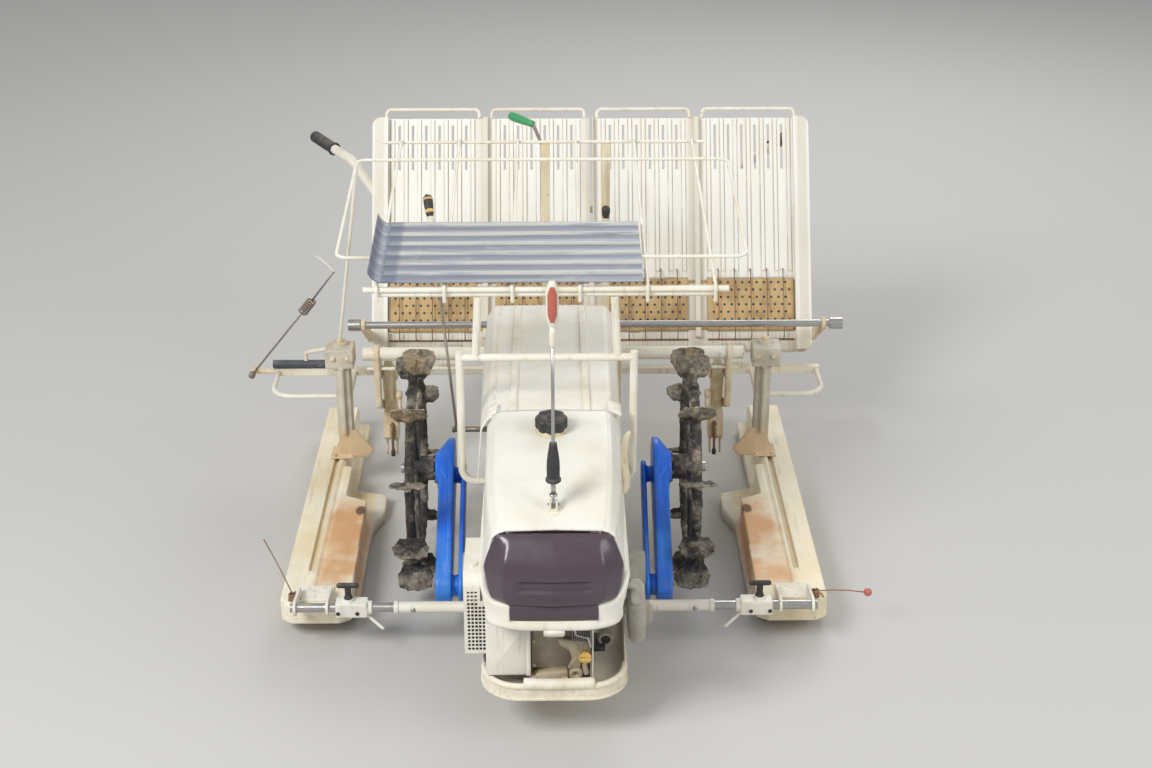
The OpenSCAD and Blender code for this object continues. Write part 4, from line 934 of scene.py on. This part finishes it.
def add_grips():
    """Black rubber grips with finger rings and a flanged inner end."""
    shape = Shape()
    for sign in (-1, 1):
        start, end = vec(sign * 575, 1052, 756), vec(sign * 640, 1150, 762)
        profile = [(13.8, 0.4), (19.5, 0.6), (20, 3), (16.5, 6)]
        for ring in range(11):
            low = 10 + 9.6 * ring
            profile += [(15.8, low), (17.2, low + 1.6), (17.2, low + 6.2), (15.8, low + 7.8)]
        profile += [(17.2, 118.5), (17.2, 124.5), (15, 127.8), (8, 128.2)]
        shape.lathe(end, end - start, profile, 28)
    shape.piece("ribbed_grips", BLACK_RUBBER, "hand_grips")


def add_levers():
    """Rods in steel and yellowed paint, and their grips as pieces of their own."""
    foot, top = vec(-238, 22, 400), vec(-324, 500, 838)
    run = (top - foot).normalized()

    def below(*drops):
        """Points on the long lever's rod, down from its top."""
        return [top - run * (drop * MM) for drop in drops]

    rods = Shape()
    path = points((-18, 543.4, 930), (-18, 585, 930), (-50, 655, 985), (-60, 664, 986))
    rods.tube(softened(path, 18), 4.5, 12)
    rods.tube([foot, foot.lerp(top, 0.5), *below(50)], 3.4, 12)
    rods.tube(points((-131.7, 22, 400), (-244, 22, 400)), 6.8, 14)
    rods.tube(points((140, 532.8, 781), (140, 508, 781)), 4.4, 12)
    rods.bolt(vec(-244, 22, 400), (-1, 0, 0), 9)
    rods.piece("lever_rods", LEVER_STEEL, "levers")
    green = Shape()
    tip, root = vec(-113, 713, 992), vec(-50, 655, 985)
    green.tube(
        [root + (tip - root) * t for t in (-0.02, 0.0, 0.06, 0.16, 0.35, 0.6, 0.85, 0.96, 1.0)],
        [6, 8.5, 9.5, 9.2, 10.5, 11.8, 12, 10, 5], 20,
    )
    green.piece("green_grip", GREEN)
    black = Shape()
    black.tube([*below(66, 45, 22, 4), top + vec(2, 0, 6)], [7.5, 10.5, 12.5, 12.5, 7], 20)
    knob = points((140, 508, 776), (140, 507, 790), (140, 507, 802), (140, 508, 808))
    black.tube(knob, [8, 11.2, 11.2, 6], 18)
    black.piece("black_lever_grips", BLACK)
    band = Shape()
    band.tube(below(49, 41), 11.8, 20)
    band.tube(below(12, 7), 12.9, 20)
    band.piece("yellow_bands", YELLOW)
    boot = Shape()
    boot.tube(below(94, 88, 78, 66, 60), [4.5, 7.5, 8.5, 9.8, 8], 18)
    boot.piece("lever_boot", CREAM)


# Marker and feelers


def add_marker():
    """Sprung line marker: pivot, thin rod, open coil and a pale bent tip."""
    pivot, middle, bend = points((-836, 600, 285), (-658, 500, 528), (-572, 450, 650))
    run = (bend - pivot).normalized()
    low, high = middle - run * 0.024, middle + run * 0.030
    shape = Shape()
    shape.lathe(vec(-836, 592, 285), (0, 1, 0), [(7.5, 0), (9, 1), (9, 14.5), (7.5, 15.5)], 20)
    shape.bolt(vec(-836, 592, 285), FRONT, 5.5)
    shape.tube([pivot, pivot.lerp(middle, 0.5), low], 2.6)
    shape.coil(low, high, 6, 11.2, 2.3)
    shape.tube([high, bend], 2.6)
    shape.piece("sprung_marker", LEVER_STEEL, "marker_arm", body="marker")
    tip = Shape()
    tip.tube(softened([bend, bend + vec(-20, -2, 24), bend + vec(-44, -4, 46)], 8), 2.2)
    tip.piece("marker_tip", CREAM, body="marker")


def add_feelers():
    """Rusty springs on the floats' front corners with their thin wires."""
    shape = Shape()
    for sign, tip in ((-1, (-80, 120, 96)), (1, (122, 6, 6))):
        root = vec(sign * 621, -279, 100)
        shape.coil(root + vec(0, 0, 1), root + vec(0, 0, 17), 4, 8.5, 2.4)
        shape.lathe(root, UP, [(12, 0), (12, 1.6)], 20)
        foot, end = root + vec(0, 0, 14), root + vec(*tip)
        bow = [foot.lerp(end, t) + vec(0, 0, 4) for t in (0.33, 0.66)]
        shape.tube([foot, *bow, end], 1.5, 8)
        shape.tube([foot, root + vec(16, -4, 8), root + vec(20, -6, 1)], 2, 8)
    shape.piece("feeler_springs", RUSTY, "feeler_left", "feeler_right")
    bead = Shape()
    arc = [math.pi * k / 12 for k in range(1, 12)]
    bead.lathe(vec(739, -273, 106), (1, 0, 0), [(10 * math.sin(a), 10 - 10 * math.cos(a)) for a in arc], 20)
    bead.piece("feeler_bead", REFLECTOR)


# Seedling table

TABLE_TILT = math.radians(60)


def on_table(x, y, z):
    """A point on the table: across, up the slope and off the lanes, in millimetres."""
    return vec(
        TABLE_MIDDLE + x, 718 + y * math.cos(TABLE_TILT) - z * math.sin(TABLE_TILT),
        340 + y * math.sin(TABLE_TILT) + z * math.cos(TABLE_TILT),
    )


def add_belts():
    """Feed belts with rows of dark studs, over their rollers, and thin rusty mat holders."""
    belt, studs, wires = Shape(), Shape(), Shape()
    normal = (on_table(0, 0, 1) - on_table(0, 0, 0)).normalized()
    far, near = ([math.radians(start + 15 * k) for k in range(13)] for start in (-90, 90))
    ring = arc(160, 0, 9, far) + arc(26, 0, 9, near)
    for lane in range(4):
        middle = (lane - 1.5) * ROW_PITCH
        belt.grid([[on_table(middle + x, y, z) for y, z in ring] for x in range(-122, 123, 4)])
        for row in range(7):
            for column in range(11):
                x = middle - 105 + 20.4 * column + 10.2 * (row % 2)
                studs.lathe(on_table(x, 30 + 21 * row, 8.6), normal, [(3.6, 0), (3.6, 1), (2.6, 1.4)], 8)
        for x in (-92, -46, 0, 46, 92):
            bow = ((-6, 4), (0, 21), (60, 23), (130, 21), (186, 12), (196, 4))
            wires.tube(softened([on_table(middle + x, y, z) for y, z in bow], 10), 1.6, 7)
        wires.tube([on_table(middle + x, -6, 4) for x in (-122, 122)], 2.4, 8)
    for y in (26, 160):
        belt.tube([on_table(x, y, 0) for x in (-614, 0, 614)], 4.5, 12)
    belt.piece("studded_belts", BELT, "feed_belts", body="table")
    studs.piece("belt_studs", BLACK_RUBBER, body="table")
    wires.piece("mat_holders", RUSTY, body="table")


# Castings: rounded copies of CAD nodes

# Columns of the table: name, material, voxel in mm, smoothing steps, nodes
CASTINGS = [
    ("float_shell_left", FLOAT, 4.0, 3, "float_left"),
    ("float_shell_right", FLOAT, 4.0, 3, "float_right"),
    ("middle_float", FLOAT, 6.0, 8, "centre_float"),
    ("post_casting_left", POST_GREY, 2.6, 4, "planting_post_left"),
    ("post_casting_right", POST_GREY, 2.6, 4, "planting_post_right"),
    ("arm_castings", CASTING, 2.8, 2, "planting_arms"),
    ("link_castings", CASTING, 2.8, 1, "planting_links"),
    ("clamp_castings", TUBE_WHITE, 1.8, 3, "clamp_left", "clamp_right"),
    ("clamp_handles", BLACK, 1.4, 2, "clamp_knobs"),
    ("swing_arm_left", BLUE, 3.2, 4, "swing_case_left"),
    ("swing_arm_right", BLUE, 3.2, 4, "swing_case_right"),
    ("air_filter_casting", GREY_CASTING, 2.2, 3, "air_cleaner"),
    ("arm_brackets", CASTING, 2.4, 3, "bar_arms"),
    ("marker_mount", CASTING, 2.0, 3, "marker_bracket"),
]


def add_castings():
    for name, material, voxel, smoothing, *names in CASTINGS:
        mesh = cast_copy(name, voxel, smoothing, *names)
        floor = min(vertex.co.z for vertex in mesh.vertices)
        if floor < 0:
            mesh.transform(Matrix.Translation((0, 0, -floor)))
        body = "table" if name == "arm_brackets" else "chassis"
        add_piece(name, mesh, material, *names, body=body)


WHEEL_REACH = 0.3046
HUB_FACE = 0.3622


def add_wheels():
    """Tyres, spokes and lugs under a crust of dried mud, with bare hub ends."""
    for side, sign in (("left", -1), ("right", 1)):
        body = f"wheel_{side}"
        mesh = cast_copy(f"muddy_wheel_{side}", 2.7, 1, body)
        moved = []
        for vertex in mesh.vertices:
            point = vertex.co
            reach = math.hypot(point.y, point.z - HUB_Z)
            seed = point + Vector((11.0 * sign, 0, 0))
            lumps = perlin.fractal(seed * 38, 1.0, 2.0, 3)
            clods = max(0.0, perlin.noise(seed * 75) - 0.05)
            heavy = fade(reach, 0.045, 0.10) * (0.35 + 0.65 * fade(reach, 0.19, 0.235))
            blade = fade(reach, 0.243, 0.262)
            lump = (0.0014 + 0.0018 * blade) * lumps + (0.0030 + 0.0040 * blade) * clods
            push = heavy * (lump - 0.0022 - 0.0018 * blade + 0.0006 * perlin.noise(seed * 210))
            moved.append(point + vertex.normal * push)
        for vertex, point in zip(mesh.vertices, moved):
            reach = math.hypot(point.y, point.z - HUB_Z)
            pull = min(1.0, WHEEL_REACH / max(reach, MM))
            vertex.co = (point.x, point.y * pull, HUB_Z + (point.z - HUB_Z) * pull)
        add_piece(f"muddy_wheel_{side}", mesh, MUDDY, body, body=body)
        ends = Shape()
        out = Vector((sign, 0, 0))
        face = Vector((sign * HUB_FACE, 0, HUB_Z))
        ends.lathe(face, out, [(24, 0), (25, 1), (25, 3), (23, 4)], 28)
        ends.bolt(face + out * 0.006, out, 11)
        ends.tube([face + vec(0, 0, z) - out * 0.012 for z in (28, 46)], 4.5)
        ends.piece(f"hub_end_{side}", RUSTY, body=body)


def add_planting_details():
    """Caps, bolts, springs, push rods and claws of the planting arms, and the posts' bolts."""
    steel, pale, dark = Shape(), Shape(), Shape()
    for i in range(4):
        x = (i - 1.5) * ROW_PITCH
        side = -1 if x < 0 else 1
        inward = (-side, 0, 0)
        for y, z, size in ((507, 330, 8.5), (530, 214, 6), (521, 154, 6)):
            pale.bolt(vec(x + side * 2, y, z), (0, -1, 0.12), size)
        pale.lathe(vec(x - 18 * side, 534, 318), inward, [(19, 0), (19, 4), (15, 6)], 28)
        for y, z in arc(534, 318, 12, turns(3)):
            pale.bolt(vec(x - 22 * side, y, z), inward, 3.6)
        pale.tube(points((x, 533, 356), (x, 532, 344), (x, 531, 338)), [9, 12, 15], 18)
        rod = x - 4 * side
        steel.coil(vec(rod, 519, 168), vec(rod, 516, 122), 7, 6.8, 1.3)
        steel.tube(points((rod, 519, 174), (rod, 513, 88)), 3.6, 12)
        dark.tube(points((rod, 513, 90), (rod, 512, 76)), 6.2, 14)
        for s in (-14, 14):
            claw = [vec(x + s, y, z) for y, z in ((550, 118), (546, 100), (536, 84), (529, 72))]
            steel.tube(softened(claw, 8, 2), 2.6, 8)
        bend = ((512, 262), (500, 236), (504, 206), (520, 188))
        pale.tube(softened([vec(x - 30 * side, y, z) for y, z in bend], 16), 4.8, 12)
        pale.lathe(vec(x - 20 * side, 512, 262), inward, [(12, 0), (12, 14), (9, 16)], 20)
    for sign in (-1, 1):
        for x, y, z, facing, size in (
            (550, 444.6, 402, FRONT, 7.5), (590, 444.6, 402, FRONT, 7.5), (572, 480, 437, UP, 12),
            (556, 452, 106.6, UP, 6.5), (602, 452, 106.6, UP, 6.5),
            (103, 455, 400, FRONT, 7), (133, 455, 400, FRONT, 7),
        ):
            pale.bolt(vec(sign * x, y, z), facing, size)
    steel.piece("arm_springs", RUSTY)
    pale.piece("arm_caps_and_bolts", CASTING)
    dark.piece("push_rod_tips", BLACK_RUBBER)


def add_engine_front():
    """Shroud, recessed cover, fins, crankcase castings, partition and pipe of the open engine."""
    shroud = Shape()
    shroud.box(-147, -58, 163, 292, -697.5, 40, 7)
    shroud.box(-60, -51, 162.5, 292, -700, 42, 2)
    shroud.piece("fan_shroud", TUBE_WHITE, "engine_front")
    roll = Shape()
    roll.tube([vec(x, -722 + 0.0006 * x * x, 158) for x in range(-66, 87, 8)], 12.5, 20)
    roll.piece("guard_roll", GUARD_CREAM)
    deep = Shape()
    deep.box(-50, 44, 166, 290, -673, 18, 2)
    deep.box(-46, 40, 241, 289, -675.5, 5, 2)
    # The recessed cover takes the darker casting: painted shade in the recess.
    deep.piece("recessed_cover", RECESS_PAINTED_SHADE)
    fins = Shape()
    for i in range(9):
        x = 38 + 4.7 * i
        fins.box(x, x + 1.7, 238, 288, -689, 22, 0.6)
    fins.piece("cylinder_fins", GREY_CASTING)
    pale = Shape()
    pale.block([
        (6, 250), (30, 246), (76, 240), (79, 221), (60, 214), (56, 176), (28, 172), (38, 196),
        (33, 220), (10, 237),
    ], -689, 22, 5)
    for i in range(6):
        x = 47 + 5.4 * i
        pale.box(x, x + 2, 222, 238, -692, 6, 0.8)
    pale.block([
        (-53, 150), (-45, 157), (-37, 164), (16, 171), (28, 172), (30, 151), (22, 141), (-38, 143),
    ], -692, 32, 5)
    pale.lathe(vec(46, -662, 160), FRONT, [(16, 0), (16, 24), (13, 28), (7, 29), (6, 24)], 32)
    pale.lathe(vec(66, -662, 208), FRONT, [(16.5, 0), (16.5, 24), (14.5, 26.5)], 36)
    pale.tube(softened(points((62, -668, 180), (66, -684, 176), (70, -686, 160)), 6), 6.5, 12)
    for x, z in ((-47, 152), (23, 148)):
        pale.lathe(vec(x, -690, z), FRONT, [(8.5, 0), (8.5, 4), (7, 5.5)], 20)
        pale.bolt(vec(x, -695.5, z), FRONT, 5)
    pale.bolt(vec(66, -684, 182), FRONT, 6)
    for x, z in ((-44, 236), (36, 178), (-44, 174)):
        pale.bolt(vec(x, -674, z), FRONT, 4.2)
    pale.piece("crankcase_castings", ENGINE)
    wall = Shape()
    wall.box(81, 84, 126, 284, -699.5, 44, 0.9)
    wall.piece("engine_partition", TUBE_WHITE)
    steel = Shape()
    steel.bolt(vec(-68, -698, 282), FRONT, 4.2)
    steel.tube(softened(points(
        (40, -690, 286), (46, -700, 268), (72, -704, 262), (78, -704, 240), (76, -690, 228),
    ), 9), 2.6)
    steel.piece("engine_screws", STEEL)
    pipe = Shape()
    pipe.box(97, 126, 190, 219, -618, 18, 5)
    pipe.lathe(vec(112, -600, 204), FRONT, [
        (17.5, 0), (17.5, 20), (16, 23), (11.5, 23.5), (10.5, 21), (10, 18.8),
    ], 36)
    pipe.piece("pipe_flange", GREY_CASTING)
    # Black pieces where the openings show dark, all painted shade: a disk in the pipe's bore, a block under
    # the flange and a plate behind the fan cover's holes.
    dark = Shape()
    dark.lathe(vec(112, -617, 204), FRONT, [(10.4, 0), (10.4, 2.2), (6, 2.4)], 24)
    dark.box(85, 111, 186, 196, -640, 60, 3)
    dark.box(-189, -146, 197, 320, -646.4, 1.4, 0.4)
    dark.piece("painted_shade_in_openings", BLACK_RUBBER)
    cap = Shape()
    at = vec(66, -689.6, 208)
    cap.lathe(at, FRONT, [(12.5, 0), (14.5, 1, 1), (14.5, 9, 1), (12.5, 10.5), (4, 11)], 72, 9, 0.10)
    cap.grid([[at + vec(x, -y, z) for x, z in corners(12, 3.4)] for y in (9.5, 17.4)])
    cap.piece("oil_filler_cap", YELLOW, "oil_cap")


def add_body_bolts():
    """Bolts on the swing arms and the front bar, screws on the clamps, and the cover's latches."""
    steel, dark, pale = Shape(), Shape(), Shape()
    for sign in (-1, 1):
        out = (sign, 0, 0)
        for y, z in ((-270, 130), (-235, 152), (-110, 232), (-40, 276)):
            steel.bolt(vec(sign * 281.3, y, z), out, 7.5)
        for y, z in arc(0, 305, 33, turns(6)):
            steel.bolt(vec(sign * 291.2, y, z), out, 5.2)
        pale.bolt(vec(sign * 330, -358.8, 118), FRONT, 5.5)
        for x in (460, 505):
            dark.bolt(vec(sign * x, -363.4, 112), FRONT, 4.6)
    latch = Shape()
    for x, y, half_x, half_y, tilt, bolt_back in ((-136, -298, 10, 26, -6, 8), (138, -286, 16, 27, 8, 12)):
        level = between(COVER, y)[0]
        plate = softened([
            vec(x + u * half_x, y + v * half_y, level - tilt * u) for u, v in corners(1, 1)
        ], 6, closed=True)
        latch.grid([
            [middle_of(plate).lerp(p, scale) + Vector(UP) * lift for p in plate]
            for scale, lift in ((0.98, -0.004), (1.0, 0.0025), (0.97, 0.0045), (0.30, 0.0050))
        ])
        latch.bolt(vec(x - 3, y - bolt_back, level + 4.5), (0.1, 0, 1), 5.5)
    steel.piece("arm_bolts", RUSTY)
    pale.piece("front_bar_bolts", STEEL)
    dark.piece("dark_screws", BLACK)
    latch.piece("hood_latches", CREAM)


def add_side_plate():
    """Bent cream leaf that stands beside the hood, behind the hoop's right leg."""
    spine = [
        (172, -358, 582, 3), (161, -376, 572, 8), (155, -398, 560, 10), (156, -428, 542, 11),
        (160, -455, 526, 10), (160, -480, 512, 8), (154, -500, 502, 3),
    ]
    rows = []
    for x, y, z, half in spine:
        rows.append([vec(x + dx, y, z + dz) for dx, dz in (
            (-half, 0.9 * half), (-0.4 * half, 0.5 * half + 1), (0.5 * half, -0.3 * half + 1), (half, -half),
            (0.9 * half, -half - 2.5), (0.4 * half, -0.3 * half - 2), (-0.5 * half, 0.5 * half - 2),
            (-half - 1, 0.9 * half - 2.5),
        )])
    shape = Shape()
    shape.grid([
        [a.lerp(b, k / 5) for a, b in zip(row, after)]
        for row, after in zip(rows, rows[1:]) for k in range(5)
    ] + rows[-1:])
    mesh = worked(shape.mesh("hood_side_plate"), ("SMOOTH", {"factor": 0.5, "iterations": 3}))
    add_piece("hood_side_plate", mesh, YELLOWED)


def add_rail_sleeve():
    """Weathered rubber sleeve on the bar over the left end of the table rail."""
    shape = Shape()
    shape.lathe(vec(-782, 642, 298.3), (1, 0, 0), [
        (9, -0.8), (11.8, 0), (12.4, 3), (11.9, 6), (11.7, 80), (11.9, 160), (12.4, 163),
        (11.8, 166), (11.2, 166.5),
    ], 28)
    shape.piece("rail_sleeve", FADED_RUBBER)


RACK_TILT = math.radians(6.4)


def add_rack_welds():
    """Weld beads where the rack's wires meet its front rail."""
    shape = Shape()
    lift = 4.5
    y, z = -250 - lift * math.sin(RACK_TILT), 880 + lift * math.cos(RACK_TILT)
    for wire in range(6):
        for dx in (-4, 4):
            at = vec(-14 + (wire - 2.5) * 150 + dx, y, z)
            shape.lathe(at, UP, [(4.2, 0), (3.8, 2.4), (2.2, 3.4)], 8)
    shape.piece("rack_welds", CREAM)


# Floor and light
FLOOR_SIZE = 40.0
FLOOR_GREY = (0.55, 0.54, 0.52)


def add_floor():
    mesh = bpy.data.meshes.new("floor")
    half = FLOOR_SIZE / 2
    mesh.from_pydata([(x, y, 0) for x, y in corners(half, half)], [], [(0, 1, 2, 3)])
    look = Look("floor")
    look.colour = FLOOR_GREY
    mesh.materials.append(look.finish(0.9))
    floor = bpy.data.objects.new("floor", mesh)
    bpy.context.scene.collection.objects.link(floor)


def add_lamp(name, at, aim, size, watts):
    data = bpy.data.lights.new(name, "AREA")
    data.shape = "DISK"
    data.size = size
    data.energy = watts
    lamp = bpy.data.objects.new(name, data)
    lamp.location = at
    lamp.rotation_euler = (Vector(aim) - Vector(at)).to_track_quat("-Z", "Y").to_euler()
    bpy.context.scene.collection.objects.link(lamp)


def add_light():
    add_lamp("key", (-3.2, -3.6, 4.6), (0, 0.1, 0.4), 2.4, 275)
    add_lamp("fill", (4.0, -2.5, 3.0), (0, 0.1, 0.4), 3.0, 80)
    add_lamp("rear", (1.5, 4.5, 4.0), (0, 0.1, 0.5), 3.0, 100)
    world = bpy.data.worlds.new("world")
    bpy.context.scene.world = world
    world.use_nodes = True
    tree = world.node_tree
    sky = tree.nodes["Background"]
    sky.inputs["Color"].default_value = (0.96, 0.98, 1.0, 1)
    sky.inputs["Strength"].default_value = 0.46
    shown = tree.nodes.new("ShaderNodeBackground")
    shown.inputs["Color"].default_value = (0.80, 0.80, 0.80, 1)
    rays = tree.nodes.new("ShaderNodeLightPath")
    mix = tree.nodes.new("ShaderNodeMixShader")
    tree.links.new(rays.outputs["Is Camera Ray"], mix.inputs[0])
    tree.links.new(sky.outputs[0], mix.inputs[1])
    tree.links.new(shown.outputs[0], mix.inputs[2])
    tree.links.new(mix.outputs[0], tree.nodes["World Output"].inputs["Surface"])


dress_nodes()
add_covers()
add_nose()
add_skirt()
add_fuel_cap()
add_pole()
add_grips()
add_levers()
add_marker()
add_feelers()
add_belts()
add_castings()
add_wheels()
add_planting_details()
add_engine_front()
add_body_bolts()
add_side_plate()
add_rail_sleeve()
add_rack_welds()
add_floor()
add_light()
add_camera()
bpy.context.scene.view_settings.view_transform = "Standard"
